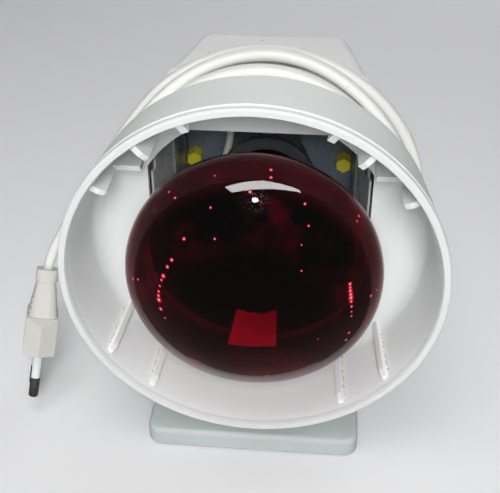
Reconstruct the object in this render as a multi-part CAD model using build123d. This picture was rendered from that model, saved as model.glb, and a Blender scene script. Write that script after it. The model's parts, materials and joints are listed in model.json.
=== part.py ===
from build123d import *
import os
from math import atan2, cos, pi, radians, sin, sqrt

# Infrared heat lamp: a round tilting hood with a screw-in reflector bulb, on a weighted foot.
# Millimetres, +Z up, the lamp shines towards -Y. The origin is on the surface that it stands on,
# midway between the bulb's front and the foot's rear edge, as seen without the mains cord.
# Head pieces are drawn about the hood's axis, with y = 0 in the plane of the front rim and +y
# towards the rear. Foot pieces are drawn about the foot's middle. Both are moved to their places
# when they are written.

# ---- Driving dimensions ----
# Foot
FOOT_WIDTH = 86.0
FOOT_DEPTH = 128.0
FOOT_TOP = 8.2
FOOT_CORNER = 6.0
FOOT_WALL = 2.2
FOOT_EDGE_RADIUS = 2.0
FOOT_COVER_THICKNESS = 1.6
FOOT_RIM_GAP = 4.2
FOOT_SETBACK = 0.5
BALLAST_SIDE_MARGIN = 15.0
BALLAST_END_MARGIN = 10.0
BALLAST_THICKNESS = 2.6
PAD_RADIUS = 5.0
PAD_PROUD = 0.8
PAD_SEAT = 0.6
PAD_INSET = 22.0
COVER_SCREW_INSET = 10.0
COVER_SCREW_RADIUS = 1.25
COVER_SCREW_HEAD = 2.6
COVER_SCREW_RECESS = 0.9
COVER_SCREW_BOSS = 3.4

# Tilt hinge
HINGE_BACK = 88.0
HINGE_DROP = 60.0
HINGE_BOLT_RADIUS = 3.0
HINGE_HEX_RADIUS = 5.8
HINGE_HEAD_HEIGHT = 4.0
HINGE_NUT_THICKNESS = 5.0
HINGE_THREAD_PROUD = 1.0
LUG_RADIUS = 8.0
LUG_WIDTH = 36.0
EAR_RADIUS = 7.4
EAR_THICKNESS = 6.0
EAR_BRACE = 10.0
WASHER_THICKNESS = 1.0
WASHER_RADIUS = 6.8
SPRING_WASHER_THICKNESS = 1.4
SPRING_WASHER_RADIUS = 5.4
SPRING_WASHER_SPLIT = 1.2

# Front hood
RIM_RADIUS = 70.6
LIP_WIDTH = 2.6
LIP_DEPTH = 1.2
LIP_UNDERCUT = 0.6
LIP_EDGE_RADIUS = 0.9
BAND_DEPTH = 4.4
BAND_STEP = 0.1
BAND_THICKENING = 1.2
GROOVE_DEPTH = 0.6
GROOVE_RAMP = 0.5
GROOVE_WIDTH = 0.8
SHOULDER_RADIUS = 66.4
SHOULDER_CORNER = 5.0
HOOD_DEPTH = 38.8
HOOD_WALL = 2.4
BOWL_CORNER = 9.0
OPENING_RADIUS = 51.0
OPENING_HALF_WIDTH = 42.6
OPENING_HALF_HEIGHT = 44.0
OPENING_WEB = 12.0
FIN_THICKNESS = 2.2
FIN_NOSE = 0.35
FINS = (
    # angle, height at the front, height at the floor, length of the tip, distance behind the rim
    (-146.5, 3.8, 3.0, 4.5, 3.0),
    (-127.0, 3.8, 3.0, 4.5, 3.0),
    (-58.0, 3.8, 3.0, 4.5, 3.0),
    (-39.5, 3.8, 3.0, 4.5, 3.0),
    (148.0, 6.6, 3.0, 1.8, 6.0),
    (126.5, 8.2, 4.2, 2.5, 2.6),
    (53.5, 8.2, 4.2, 2.5, 2.6),
    (32.0, 6.6, 3.0, 1.8, 6.0),
)
HOOK_ANGLES = (111.0, 66.0)
HOOK_HEIGHT = 5.6
HOOK_WIDTH = 2.6
LEDGE_Z = (32.6, 34.6)
LEDGE_DEPTH = 12.0
HOOD_SCREW_X = 16.0
HOOD_SCREW_DROP = 49.2
HOOD_SCREW_RADIUS = 1.45
HOOD_SCREW_HEAD = 2.9
HOOD_SCREW_HEAD_HEIGHT = 1.8
HOOD_SCREW_REACH = 11.0
HOOD_SCREW_BOSS = 4.0
HOOD_SCREW_BOSS_DEPTH = 15.0

# Rear housing
NECK_RADIUS = 57.0
NECK_LENGTH = 33.2
CHEEK_RADIUS = 62.6
CHEEK_THICKNESS = 2.4
HOUSING_WALL = 2.4
HOUSING_END = 119.0
HOUSING_FRONT_HALF = (38.5, 49.0, 53.0)
HOUSING_REAR_HALF = (29.5, 46.0, 50.0)
HOUSING_SIDE_EDGE = 5.5
HOUSING_REAR_EDGE = 4.0
PILLAR_RADIUS = 4.4
VENT_LENGTH = 18.0
VENT_HEIGHT = 3.0
VENT_X = 11.5
VENT_TOP = 40.0
VENT_PITCH = 16.0
VENT_ROWS = 6

# Bulb
BULB_RADIUS = 47.5
BULB_SETBACK = 10.0
DOME_RADIUS = 62.0
BULB_EDGE_RADIUS = 19.0
BULB_BACK_RADIUS = 19.0
BULB_BACK_ANGLE = 40.0
BULB_FLARE_RADIUS = 20.0
GLASS_WALL = 1.2
CAP_RADIUS = 13.2
NECK_OVER_CAP = 1.0
BULB_NECK_RADIUS = CAP_RADIUS + NECK_OVER_CAP
CAP_FRONT = 82.0
CAP_LENGTH = 22.0
CAP_PITCH = 3.6
CAP_THREAD_DEPTH = 0.9
CAP_SHEET = 0.4
CAP_PLAIN = 4.0
CAP_TAPER = 2.2
CAP_TIP_LENGTH = 5.0
CONTACT_RADIUS = 4.2
CONTACT_STEM = 2.5
CONTACT_THICKNESS = 1.0
STEM_FRONT = 60.0
STEM_WAIST = 76.0
STEM_FLARE = 84.0
STEM_RADIUS = 2.4
FILAMENT_Y = 36.0
FILAMENT_RADIUS = 14.0
FILAMENT_THICKNESS = 0.5
SUPPORT_RADIUS = 0.35
SUPPORT_COUNT = 6

# Lampholder and chassis
SKIRT_FRONT = 76.0
SKIRT_LENGTH = 6.0
SKIRT_WALL = 5.1
SKIRT_BEVEL = 1.2
SKIRT_STEP = 1.6
SKIRT_STEP_DEPTH = 1.4
SKIRT_MOUTH = 0.8
SKIRT_MOUTH_DEPTH = 2.4
HOLDER_BLOCK_WIDTH = 27.0
HOLDER_BLOCK_MARGIN = 3.6
HOLDER_TAIL_WALL = 2.1
HOLDER_REAR = 113.0
HOLDER_REAR_WALL = 2.0
HOLDER_SCREW_GAP = 4.9
HOLDER_SCREW_RADIUS = 1.5
HOLDER_SCREW_HEAD = 2.8
HOLDER_SCREW_HEAD_HEIGHT = 1.4
HOLDER_SCREW_PROUD = 4.0
TERMINAL_SCREW_RADIUS = 1.5
TERMINAL_SCREW_HEAD = 2.6
TERMINAL_SCREW_HEAD_HEIGHT = 1.4
SIDE_TERMINAL_REACH = 5.5
HOLDER_SHELL_THICKNESS = 1.2
HOLDER_THREAD_DEPTH = 0.5
CAP_CLEARANCE = 0.5
HOLDER_BORE = CAP_RADIUS + CAP_CLEARANCE + HOLDER_THREAD_DEPTH + HOLDER_SHELL_THICKNESS
HOLDER_TAIL_RADIUS = HOLDER_BORE + HOLDER_TAIL_WALL
HOLDER_SCREW_Z = HOLDER_TAIL_RADIUS + HOLDER_SCREW_GAP
SKIRT_RADIUS = HOLDER_BORE + SKIRT_WALL
TONGUE_HALF_WIDTH = 3.0
TONGUE_HALF_LENGTH = 12.0
TONGUE_THICKNESS = 0.8
TONGUE_SPOT_RADIUS = 2.6
CHASSIS_FRONT = 39.4
CHASSIS_FRONT_HALF = 42.0
CHASSIS_FOLD = 63.0
CHASSIS_FOLD_HALF = 37.4
CHASSIS_BACK = 93.6
CHASSIS_BACK_HALF = 36.5
CHASSIS_SHEET = 0.8
CHASSIS_HALF_HEIGHT = 32.0
NOTCH_DEPTH = 3.0
NOTCH_SPANS = ((24.0, 33.0), (-33.0, -24.0), (-3.0, 3.0))
WING_SLOT_Z = 14.0
WING_SLOT_HEIGHT = 4.0
WING_SLOT_SPAN = (71.0, 85.0)
NUT_X = 32.5
NUT_Z = 4.0
NUT_RADIUS = 3.4
NUT_LENGTH = 6.4
NUT_PIN_RADIUS = 2.0
NUT_PIN_LENGTH = 12.0

# Wiring inside the head
TERMINAL_HALF = 9.0
TERMINAL_SPAN = (96.0, 110.0)
TERMINAL_Z = (34.5, 44.0)
TERMINAL_ROWS = (99.5, 106.5)
TERMINAL_BORE = 2.0
TERMINAL_SCREW_X = 5.5
TERMINAL_STEM = 4.0
WIRE_HEIGHT = 40.0
WIRE_CORNER = 4.0
LEAD_RADIUS = 1.6
INNER_CORD_RADIUS = 2.6
LIVE_ROUTE = [
    (-9.2, 99.5, 40.0),
    (-15.0, 98.6, 40.2),
    (-17.2, 91.0, 38.0),
    (-15.6, 87.2, 27.0),
    (-HOLDER_TAIL_RADIUS + 0.7, 87.0, 14.0),
    (-HOLDER_TAIL_RADIUS - 2.1, 87.2, 2.5),
]
NEUTRAL_ROUTE = [
    (-9.2, 106.5, 40.0),
    (-14.4, 107.4, 39.4),
    (-15.6, 111.6, 30.0),
    (-11.6, 114.8, 17.0),
    (-8.0, 114.8, 3.0),
]
GLAND_ANGLE = 20.0
GLAND_Y = 62.0
GLAND_RADIUS = 5.0
GLAND_BORE = 3.4
GLAND_FLANGE = 1.4
GLAND_FLANGE_THICKNESS = 1.6
GLAND_SUNK = 0.4
CLAMP_X = 20.0
CLAMP_Y = 80.0
CLAMP_SPREAD = 8.0
CLAMP_LOW = 43.6
CLAMP_HALF_LENGTH = 11.0
CLAMP_HALF_WIDTH = 3.5
CLAMP_THICKNESS = 3.0
CLAMP_SQUEEZE = 0.2
CLAMP_PILLAR_RADIUS = 2.8
CLAMP_POST_RADIUS = 2.6
CLAMP_SCREW_RADIUS = 1.15
CLAMP_SCREW_HEAD = 2.4
CLAMP_SCREW_HEAD_HEIGHT = 1.4
CLAMP_SCREW_REACH = 4.0

# Mains cord and plug
CORD_THICKNESS = 4.0
CORD_CLEARANCE = 0.4
WINDING_LAYERS = 2
WINDING_GAP = 0.4
WINDING_EDGE = 2.0
PLUG_PIN_RADIUS = 2.0
PLUG_PIN_LENGTH = 19.0
PLUG_PIN_SPACING = 18.6
PLUG_PIN_TIP = 1.2
PLUG_PIN_CORE = 1.5
PLUG_SLEEVE_LENGTH = 10.6
PLUG_SLEEVE_RADIUS = 1.8
PLUG_SLEEVE_ROOT = 3.5
PLUG_THICKNESS = 13.0
PLUG_FLAT_WIDTH = 25.6
PLUG_WIDTH = 34.8
PLUG_BLOCK_LENGTH = 15.6
PLUG_RIDGE_LENGTH = 12.6
PLUG_BODY_LENGTH = 34.8
PLUG_COLLAR = (9.2, 11.4, 3.2)
PLUG_COLLAR_LENGTH = 5.0
PLUG_WAIST = (8.2, 10.2, 3.0)
PLUG_SHOULDER = (12.2, 24.0, 4.0)
GRIP_PITCH = 2.2
GRIP_COUNT = 6
GRIP_GROOVE = 1.0
GRIP_GROOVE_DEPTH = 0.5
PLUG_AXIS = (0.105, 0.466, 0.8785)
PLUG_WIDE_AXIS = (-0.2969, 0.8578, -0.4195)
PLUG_PIN_TIPS = (-96.95, 21.91, -77.4)
CORD_ROUTE = [
    (-50.2, 62.5, 37.8),
    (-57.2, 62.6, 28.0),
    (-64.0, 61.6, 18.2),
    (-70.3, 60.1, 9.4),
    (-75.6, 58.4, 0.8),
    (-80.8, 55.9, -8.0),
    (-85.2, 53.3, -16.2),
    (-89.6, 50.2, -23.6),
    (-91.3, 46.98, -30.14),
]

# Clearances
RUNNING = 0.05
FIT = 0.15
LOOSE = 0.3
OVERCUT = 1.0

AXIS_HEIGHT = FOOT_TOP + FOOT_RIM_GAP + RIM_RADIUS
RIM_Y = -FOOT_DEPTH / 2 - FOOT_SETBACK
DOME_GAP = sqrt((DOME_RADIUS - BULB_EDGE_RADIUS) ** 2 - (BULB_RADIUS - BULB_EDGE_RADIUS) ** 2)
BULB_FRONT = BULB_SETBACK + DOME_GAP - DOME_RADIUS
FOOT = Pos(0, -(RIM_Y + BULB_FRONT + FOOT_DEPTH / 2) / 2, 0)
HEAD = FOOT * Pos(0, RIM_Y, AXIS_HEIGHT)
HINGE_Y = RIM_Y + HINGE_BACK
HINGE_Z = AXIS_HEIGHT - HINGE_DROP
NECK_START = HOOD_DEPTH
NECK_END = NECK_START + NECK_LENGTH
NECK_BORE = NECK_RADIUS - HOUSING_WALL
FLOOR_FRONT = HOOD_DEPTH - HOOD_WALL


# ---- Shared shapes ----
def block(low, high):
    size = [b - a for a, b in zip(low, high)]
    middle = [(a + b) / 2 for a, b in zip(low, high)]
    return Pos(*middle) * Box(*size)


def rod(start, end, radius):
    start, end = Vector(*start), Vector(*end)
    place = Plane(origin=start, z_dir=end - start)
    length = (end - start).length
    return place * Cylinder(radius, length, align=(Align.CENTER, Align.CENTER, Align.MIN))


def sleeve(start, end, outer, inner):
    return rod(start, end, outer) - rod(start, end, inner)


def outline_face(points, corners=()):
    """The closed outline through (radius, y) points, with some of its corners rounded."""
    face = make_face(Polyline(*points, close=True))
    for point, radius in corners:
        corner = face.vertices().sort_by_distance((*point, 0))[0]
        face = fillet(corner, radius)
    return face


def turned(points, corners=()):
    """A body turned about the Y axis."""
    return revolve(outline_face(points, corners), Axis.Y)


def fin(points, thickness, angle):
    """A radial fin from its (radius, y) outline, turned from +X towards +Z by an angle."""
    plate = extrude(outline_face(points), thickness / 2, both=True)
    return Rot(0, -angle, 0) * plate


def screw(tip, head, radius, head_radius, head_height):
    """A screw whose head's underside is at head and whose shank ends at tip."""
    tip, head = Vector(*tip), Vector(*head)
    out = (head - tip).normalized()
    shank = rod(tuple(tip), tuple(head), radius)
    top = rod(tuple(head), tuple(head + out * head_height), head_radius)
    slot = Plane(origin=head + out * head_height, z_dir=out) * Box(2.4 * head_radius, 0.6, head_height)
    return shank + top - slot


def hexagon(start, end, radius):
    start, end = Vector(*start), Vector(*end)
    face = Plane(origin=start, z_dir=end - start) * RegularPolygon(radius, 6)
    return extrude(face, (end - start).length, dir=(end - start).normalized())


def group(solids):
    return Compound(children=[s if isinstance(s, Solid) else s.solids()[0] for s in solids])


# ---- Foot ----
def foot_box(inset, low, high, corner):
    plan = RectangleRounded(FOOT_WIDTH - 2 * inset, FOOT_DEPTH - 2 * inset, corner)
    return Pos(0, 0, low) * extrude(plan, high - low)


def corner_points(inset):
    return [
        (x * (FOOT_WIDTH / 2 - inset), y * (FOOT_DEPTH / 2 - inset))
        for x in (-1, 1)
        for y in (-1, 1)
    ]


COVER_TOP = PAD_PROUD + FOOT_COVER_THICKNESS
SHELL_CEILING = FOOT_TOP - FOOT_WALL
EAR_INNER = LUG_WIDTH / 2 + WASHER_THICKNESS
EAR_OUTER = EAR_INNER + EAR_THICKNESS
COVER_SCREW_SEAT = PAD_PROUD + COVER_SCREW_RECESS
SPRING_WASHER_END = EAR_OUTER + SPRING_WASHER_THICKNESS


def on_hinge(x):
    return (x, HINGE_Y, HINGE_Z)


def foot_ear(side):
    """One upright ear with a round top, standing on the foot."""
    x0, x1 = sorted((side * EAR_INNER, side * EAR_OUTER))
    root = FOOT_TOP - FOOT_WALL / 2
    outline = [
        (HINGE_Y - EAR_RADIUS - EAR_BRACE, root),
        (HINGE_Y + EAR_RADIUS + EAR_BRACE, root),
        (HINGE_Y + EAR_RADIUS, HINGE_Z),
        (HINGE_Y - EAR_RADIUS, HINGE_Z),
    ]
    upright = extrude(make_face(Polyline(*outline, close=True)), x1 - x0)
    upright = Plane(origin=(x0, 0, 0), x_dir=(0, 1, 0), z_dir=(1, 0, 0)) * upright
    return upright + rod(on_hinge(x0), on_hinge(x1), EAR_RADIUS)


def foot_shell():
    shell = foot_box(0, PAD_PROUD, FOOT_TOP, FOOT_CORNER)
    shell = fillet(shell.edges().group_by(Axis.Z)[-1], FOOT_EDGE_RADIUS)
    shell -= foot_box(FOOT_WALL, PAD_PROUD - 1, SHELL_CEILING, FOOT_CORNER - FOOT_WALL)
    for x, y in corner_points(COVER_SCREW_INSET):
        shell += rod((x, y, COVER_TOP), (x, y, SHELL_CEILING), COVER_SCREW_BOSS)
        shell -= rod((x, y, COVER_TOP - 1), (x, y, SHELL_CEILING), COVER_SCREW_RADIUS + RUNNING)
    for side in (-1, 1):
        shell += foot_ear(side)
    reach = EAR_OUTER + 1
    return shell - rod(on_hinge(-reach), on_hinge(reach), HINGE_BOLT_RADIUS + RUNNING)


def foot_ballast():
    half_w, half_d = FOOT_WIDTH / 2 - BALLAST_SIDE_MARGIN, FOOT_DEPTH / 2 - BALLAST_END_MARGIN
    low = SHELL_CEILING - BALLAST_THICKNESS
    return block((-half_w, -half_d, low), (half_w, half_d, SHELL_CEILING))


def foot_bottom_cover():
    cover = foot_box(FOOT_WALL + FIT, PAD_PROUD, COVER_TOP, FOOT_CORNER - FOOT_WALL - FIT)
    for x, y in corner_points(COVER_SCREW_INSET):
        cover -= rod((x, y, 0), (x, y, COVER_TOP + 1), COVER_SCREW_RADIUS + LOOSE)
        cover -= rod((x, y, 0), (x, y, COVER_SCREW_SEAT), COVER_SCREW_HEAD + LOOSE)
    for x, y in corner_points(PAD_INSET):
        cover -= rod((x, y, 0), (x, y, PAD_PROUD + PAD_SEAT), PAD_RADIUS + FIT)
    return cover


def foot_cover_screws():
    tip = SHELL_CEILING - PAD_SEAT
    head_height = COVER_SCREW_RECESS - 0.1
    return group(
        screw((x, y, tip), (x, y, COVER_SCREW_SEAT), COVER_SCREW_RADIUS, COVER_SCREW_HEAD, head_height)
        for x, y in corner_points(COVER_SCREW_INSET)
    )


def rubber_feet():
    return group(
        rod((x, y, 0), (x, y, PAD_PROUD + PAD_SEAT), PAD_RADIUS) for x, y in corner_points(PAD_INSET)
    )


# ---- Tilt hinge ----
def hinge_bolt():
    end = SPRING_WASHER_END + HINGE_NUT_THICKNESS + HINGE_THREAD_PROUD
    shank = rod(on_hinge(-EAR_OUTER), on_hinge(end), HINGE_BOLT_RADIUS)
    head_end = -EAR_OUTER - HINGE_HEAD_HEIGHT
    return shank + hexagon(on_hinge(-EAR_OUTER), on_hinge(head_end), HINGE_HEX_RADIUS)


def hinge_nut():
    start, end = on_hinge(SPRING_WASHER_END), on_hinge(SPRING_WASHER_END + HINGE_NUT_THICKNESS)
    return hexagon(start, end, HINGE_HEX_RADIUS) - rod(start, end, HINGE_BOLT_RADIUS + RUNNING)


def hinge_spring_washer():
    start, end = on_hinge(EAR_OUTER), on_hinge(SPRING_WASHER_END)
    ring = sleeve(start, end, SPRING_WASHER_RADIUS, HINGE_BOLT_RADIUS + RUNNING)
    half = SPRING_WASHER_SPLIT / 2
    split = block(
        (EAR_OUTER - 1, HINGE_Y - half, HINGE_Z),
        (SPRING_WASHER_END + 1, HINGE_Y + half, HINGE_Z + SPRING_WASHER_RADIUS + 1),
    )
    return ring - split


def hinge_friction_washers():
    inner = LUG_WIDTH / 2 + RUNNING
    bore = HINGE_BOLT_RADIUS + FIT
    return group(
        sleeve(on_hinge(side * inner), on_hinge(side * EAR_INNER), WASHER_RADIUS, bore)
        for side in (-1, 1)
    )


# ---- Front hood ----
def opening_prism(y0, y1):
    """The way through the bowl's floor: a circle with flat top, bottom and sides."""
    half_w, half_h = OPENING_HALF_WIDTH, OPENING_HALF_HEIGHT
    return rod((0, y0, 0), (0, y1, 0), OPENING_RADIUS) & block(
        (-half_w, y0, -half_h), (half_w, y1, half_h)
    )


def wall_radius(y):
    """Outer radius of the hood behind its front band."""
    front = RIM_RADIUS - BAND_STEP
    share = (y - BAND_DEPTH) / (HOOD_DEPTH - BAND_DEPTH)
    return front + (SHOULDER_RADIUS - front) * share


def hood_fin(angle, front_height, floor_height, tip, start):
    """A stiffening fin along the wall, with its front end sloping in to its full height."""
    front = wall_radius(start) - HOOD_WALL / 2
    rear = wall_radius(FLOOR_FRONT) - HOOD_WALL / 2
    inner = wall_radius(start) - HOOD_WALL - front_height
    floor = FLOOR_FRONT + HOOD_WALL / 2
    outline = [
        (inner, start + tip),
        (inner + FIN_NOSE * front_height, start + FIN_NOSE * tip),
        (front, start),
        (rear, floor),
        (rear - HOOD_WALL / 2 - floor_height, floor),
    ]
    return fin(outline, FIN_THICKNESS, angle)


def hood_hook(angle):
    """A small pointed catch under the lip."""
    root = wall_radius(BAND_DEPTH) - HOOD_WALL
    tip = root - HOOK_HEIGHT
    outline = [(root + 1, LIP_DEPTH), (root + 1, 10), (tip, 7.0), (tip, 5.8)]
    return fin(outline, HOOK_WIDTH, angle)


def hood_ledge(side):
    """A short shelf between the wall and the opening, under the upper fins."""
    low, high = LEDGE_Z
    outer = sqrt((SHOULDER_RADIUS - HOOD_WALL / 2) ** 2 - high**2)
    x0, x1 = sorted((side * OPENING_HALF_WIDTH, side * outer))
    return block((x0, FLOOR_FRONT - LEDGE_DEPTH, low), (x1, FLOOR_FRONT + HOOD_WALL / 2, high))


def hood_screw_points():
    return [(x * HOOD_SCREW_X, -HOOD_SCREW_DROP) for x in (-1, 1)]


def front_hood():
    """The turned hood: a grooved front band, a bowl, and a floor with the bulb's opening."""
    lip = RIM_RADIUS - LIP_WIDTH
    groove = RIM_RADIUS - GROOVE_DEPTH
    groove_end = BAND_DEPTH - GROOVE_RAMP
    floor_inner = OPENING_RADIUS - OPENING_WEB
    groove_start = groove_end - GROOVE_WIDTH
    rear_corner = (SHOULDER_RADIUS, HOOD_DEPTH)
    bowl_corner = (SHOULDER_RADIUS - HOOD_WALL, FLOOR_FRONT)
    hood = turned(
        [
            (lip, 0),
            (RIM_RADIUS, 0),
            (RIM_RADIUS, groove_start - GROOVE_RAMP),
            (groove, groove_start),
            (groove, groove_end),
            (RIM_RADIUS - BAND_STEP, BAND_DEPTH),
            rear_corner,
            (floor_inner, HOOD_DEPTH),
            (floor_inner, FLOOR_FRONT),
            bowl_corner,
            (wall_radius(BAND_DEPTH) - HOOD_WALL - BAND_THICKENING, BAND_DEPTH),
            (lip - LIP_UNDERCUT, LIP_DEPTH),
        ],
        [
            ((RIM_RADIUS, 0), LIP_EDGE_RADIUS),
            (rear_corner, SHOULDER_CORNER),
            (bowl_corner, BOWL_CORNER),
        ],
    )
    hood -= opening_prism(FLOOR_FRONT - OVERCUT, HOOD_DEPTH + OVERCUT)
    for row in FINS:
        hood += hood_fin(*row)
    for angle in HOOK_ANGLES:
        hood += hood_hook(angle)
    for side in (-1, 1):
        hood += hood_ledge(side)
    for x, z in hood_screw_points():
        start, end = (x, FLOOR_FRONT - OVERCUT, z), (x, HOOD_DEPTH + OVERCUT, z)
        hood -= rod(start, end, HOOD_SCREW_RADIUS + LOOSE)
    return hood


def hood_screws():
    tip = HOOD_DEPTH + HOOD_SCREW_REACH
    sizes = (HOOD_SCREW_RADIUS, HOOD_SCREW_HEAD, HOOD_SCREW_HEAD_HEIGHT)
    return group(
        screw((x, tip, z), (x, FLOOR_FRONT, z), *sizes) for x, z in hood_screw_points()
    )


# ---- Rear housing ----
def barrel_section(y, halves, inset):
    """A section with a flat top and bottom and bowed sides."""
    flat, middle, height = (half - inset for half in halves)
    sides = [
        Line((-flat, y, -height), (flat, y, -height)),
        ThreePointArc((flat, y, -height), (middle, y, 0), (flat, y, height)),
        Line((flat, y, height), (-flat, y, height)),
        ThreePointArc((-flat, y, height), (-middle, y, 0), (-flat, y, -height)),
    ]
    return Face(Wire(sides))


def housing_halves(y):
    """Half sizes of the tapered box at a depth, from its two end sections."""
    share = (y - NECK_END) / (HOUSING_END - NECK_END)
    return tuple(a + (b - a) * share for a, b in zip(HOUSING_FRONT_HALF, HOUSING_REAR_HALF))


def tapered_box(y0, y1, inset):
    ends = [barrel_section(y, housing_halves(y), inset) for y in (y0, y1)]
    return loft(ends, ruled=True)


def rear_housing():
    """A neck, the cheek behind the cord's winding, and a tapered box with its rear wall."""
    shell = tapered_box(NECK_END, HOUSING_END, 0)
    side_edges = [e for e in shell.edges() if abs(e.tangent_at(0.5).Y) > 0.8]
    shell = fillet(ShapeList(side_edges), HOUSING_SIDE_EDGE)
    shell = fillet(shell.edges().group_by(Axis.Y)[-1], HOUSING_REAR_EDGE)
    shell += rod((0, NECK_START, 0), (0, NECK_END, 0), NECK_RADIUS)
    shell += rod((0, NECK_END, 0), (0, NECK_END + CHEEK_THICKNESS, 0), CHEEK_RADIUS)
    shell -= rod((0, NECK_START - OVERCUT, 0), (0, NECK_END, 0), NECK_BORE)
    inner = tapered_box(NECK_END - OVERCUT, HOUSING_END - HOUSING_WALL, HOUSING_WALL)
    shell -= inner & rod((0, NECK_END - OVERCUT, 0), (0, HOUSING_END, 0), NECK_BORE)
    shell += hinge_lug() + screw_bosses() + nut_pillars() + clamp_pillars()
    return shell - housing_holes()


def hinge_lug():
    """The knuckle under the housing that turns on the hinge bolt."""
    half = LUG_WIDTH / 2
    top = -housing_halves(HINGE_BACK)[2] + HOUSING_WALL / 2
    stem = block(
        (-half, HINGE_BACK - LUG_RADIUS, -HINGE_DROP),
        (half, HINGE_BACK + LUG_RADIUS, top),
    )
    return stem + rod((-half, HINGE_BACK, -HINGE_DROP), (half, HINGE_BACK, -HINGE_DROP), LUG_RADIUS)


def screw_bosses():
    """Bosses inside the neck that the hood's screws bite into."""
    bosses = Part()
    for x, z in hood_screw_points():
        bosses += rod((x, NECK_START, z), (x, NECK_START + HOOD_SCREW_BOSS_DEPTH, z), HOOD_SCREW_BOSS)
    return bosses & rod((0, NECK_START, 0), (0, NECK_END, 0), NECK_RADIUS - 0.5)


def nut_pillars():
    """Two pillars from the rear wall that carry the chassis plate."""
    rear = HOUSING_END - HOUSING_WALL / 2
    pillars = Part()
    for x in (-NUT_X, NUT_X):
        pillars += rod((x, CHASSIS_BACK, NUT_Z), (x, rear, NUT_Z), PILLAR_RADIUS)
    return pillars


def clamp_points():
    return [CLAMP_X - CLAMP_SPREAD, CLAMP_X + CLAMP_SPREAD]


def clamp_pillars():
    """Two short pillars under the roof for the cord clamp."""
    roof = housing_halves(CLAMP_Y)[2] - HOUSING_WALL / 2
    pillars = Part()
    for x in clamp_points():
        pillars += rod((x, CLAMP_Y, CLAMP_LOW), (x, CLAMP_Y, roof), CLAMP_PILLAR_RADIUS)
    return pillars


def on_gland(radius, back=0.0):
    """A point on the gland's axis, at a distance from the hood's axis."""
    angle = radians(GLAND_ANGLE)
    return (radius * sin(angle), GLAND_Y + back, radius * cos(angle))


def housing_holes():
    holes = Part()
    for x, z in hood_screw_points():
        start, end = NECK_START - OVERCUT, NECK_START + HOOD_SCREW_BOSS_DEPTH - HOUSING_WALL
        holes += rod((x, start, z), (x, end, z), HOOD_SCREW_RADIUS + RUNNING)
    for x in (-NUT_X, NUT_X):
        start, end = CHASSIS_BACK - OVERCUT, CHASSIS_BACK + NUT_PIN_LENGTH + OVERCUT
        holes += rod((x, start, NUT_Z), (x, end, NUT_Z), NUT_PIN_RADIUS + RUNNING)
    for x in clamp_points():
        start, end = CLAMP_LOW - OVERCUT, CLAMP_LOW + CLAMP_SCREW_REACH + LOOSE
        holes += rod((x, CLAMP_Y, start), (x, CLAMP_Y, end), CLAMP_SCREW_RADIUS + RUNNING)
    reach = LUG_WIDTH / 2 + OVERCUT
    bolt_start, bolt_end = (-reach, HINGE_BACK, -HINGE_DROP), (reach, HINGE_BACK, -HINGE_DROP)
    holes += rod(bolt_start, bolt_end, HINGE_BOLT_RADIUS + RUNNING)
    gland_start, gland_end = on_gland(NECK_BORE - GLAND_RADIUS), on_gland(NECK_RADIUS + GLAND_RADIUS)
    holes += rod(gland_start, gland_end, GLAND_RADIUS + FIT)
    for x in (-VENT_X, VENT_X):
        for row in range(VENT_ROWS):
            holes += vent_slot(x, VENT_TOP - row * VENT_PITCH)
    return holes


def vent_slot(x, z):
    """A rounded slot through the rear wall."""
    half, radius = (VENT_LENGTH - VENT_HEIGHT) / 2, VENT_HEIGHT / 2
    y0, y1 = HOUSING_END - HOUSING_WALL - OVERCUT, HOUSING_END + OVERCUT
    slot = block((x - half, y0, z - radius), (x + half, y1, z + radius))
    for end in (x - half, x + half):
        slot += rod((end, y0, z), (end, y1, z), radius)
    return slot


# ---- Chassis ----
def chassis_outline(inset):
    """The tray's outline, moved in by an inset and then open at the front."""
    back = CHASSIS_BACK - inset
    front = CHASSIS_FRONT - (CHASSIS_BACK - CHASSIS_FOLD if inset else 0)
    lead = (CHASSIS_FRONT_HALF - CHASSIS_FOLD_HALF) / (CHASSIS_FOLD - CHASSIS_FRONT)
    front_half = CHASSIS_FRONT_HALF - inset + lead * (CHASSIS_FRONT - front)
    return [
        (front_half, front),
        (CHASSIS_FOLD_HALF - inset, CHASSIS_FOLD),
        (CHASSIS_BACK_HALF - inset, back),
        (-CHASSIS_BACK_HALF + inset, back),
        (-CHASSIS_FOLD_HALF + inset, CHASSIS_FOLD),
        (-front_half, front),
    ]


def chassis_plate():
    """A folded steel tray: a back plate between two side wings with notched front edges."""
    height = CHASSIS_HALF_HEIGHT
    outer = extrude(outline_face(chassis_outline(0)), height, both=True)
    inner = extrude(outline_face(chassis_outline(CHASSIS_SHEET)), height + OVERCUT, both=True)
    plate = outer - inner
    plate -= through_back(0, 0, HOLDER_TAIL_RADIUS + FIT)
    for side in (-1, 1):
        plate -= through_back(side * NUT_X, NUT_Z, NUT_PIN_RADIUS + LOOSE)
        for low, high in NOTCH_SPANS:
            plate -= wing_notch(side, low, high)
        for z in (-WING_SLOT_Z, WING_SLOT_Z):
            plate -= wing_slot(side, z)
    for z in (-HOLDER_SCREW_Z, HOLDER_SCREW_Z):
        plate -= through_back(0, z, HOLDER_SCREW_RADIUS + FIT)
    return plate


def through_back(x, z, radius):
    start, end = CHASSIS_BACK - CHASSIS_SHEET - OVERCUT, CHASSIS_BACK + OVERCUT
    return rod((x, start, z), (x, end, z), radius)


def wing_notch(side, low, high):
    x0, x1 = sorted((side * (CHASSIS_FOLD_HALF - OVERCUT), side * (CHASSIS_FRONT_HALF + OVERCUT)))
    return block((x0, CHASSIS_FRONT - OVERCUT, low), (x1, CHASSIS_FRONT + NOTCH_DEPTH, high))


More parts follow.
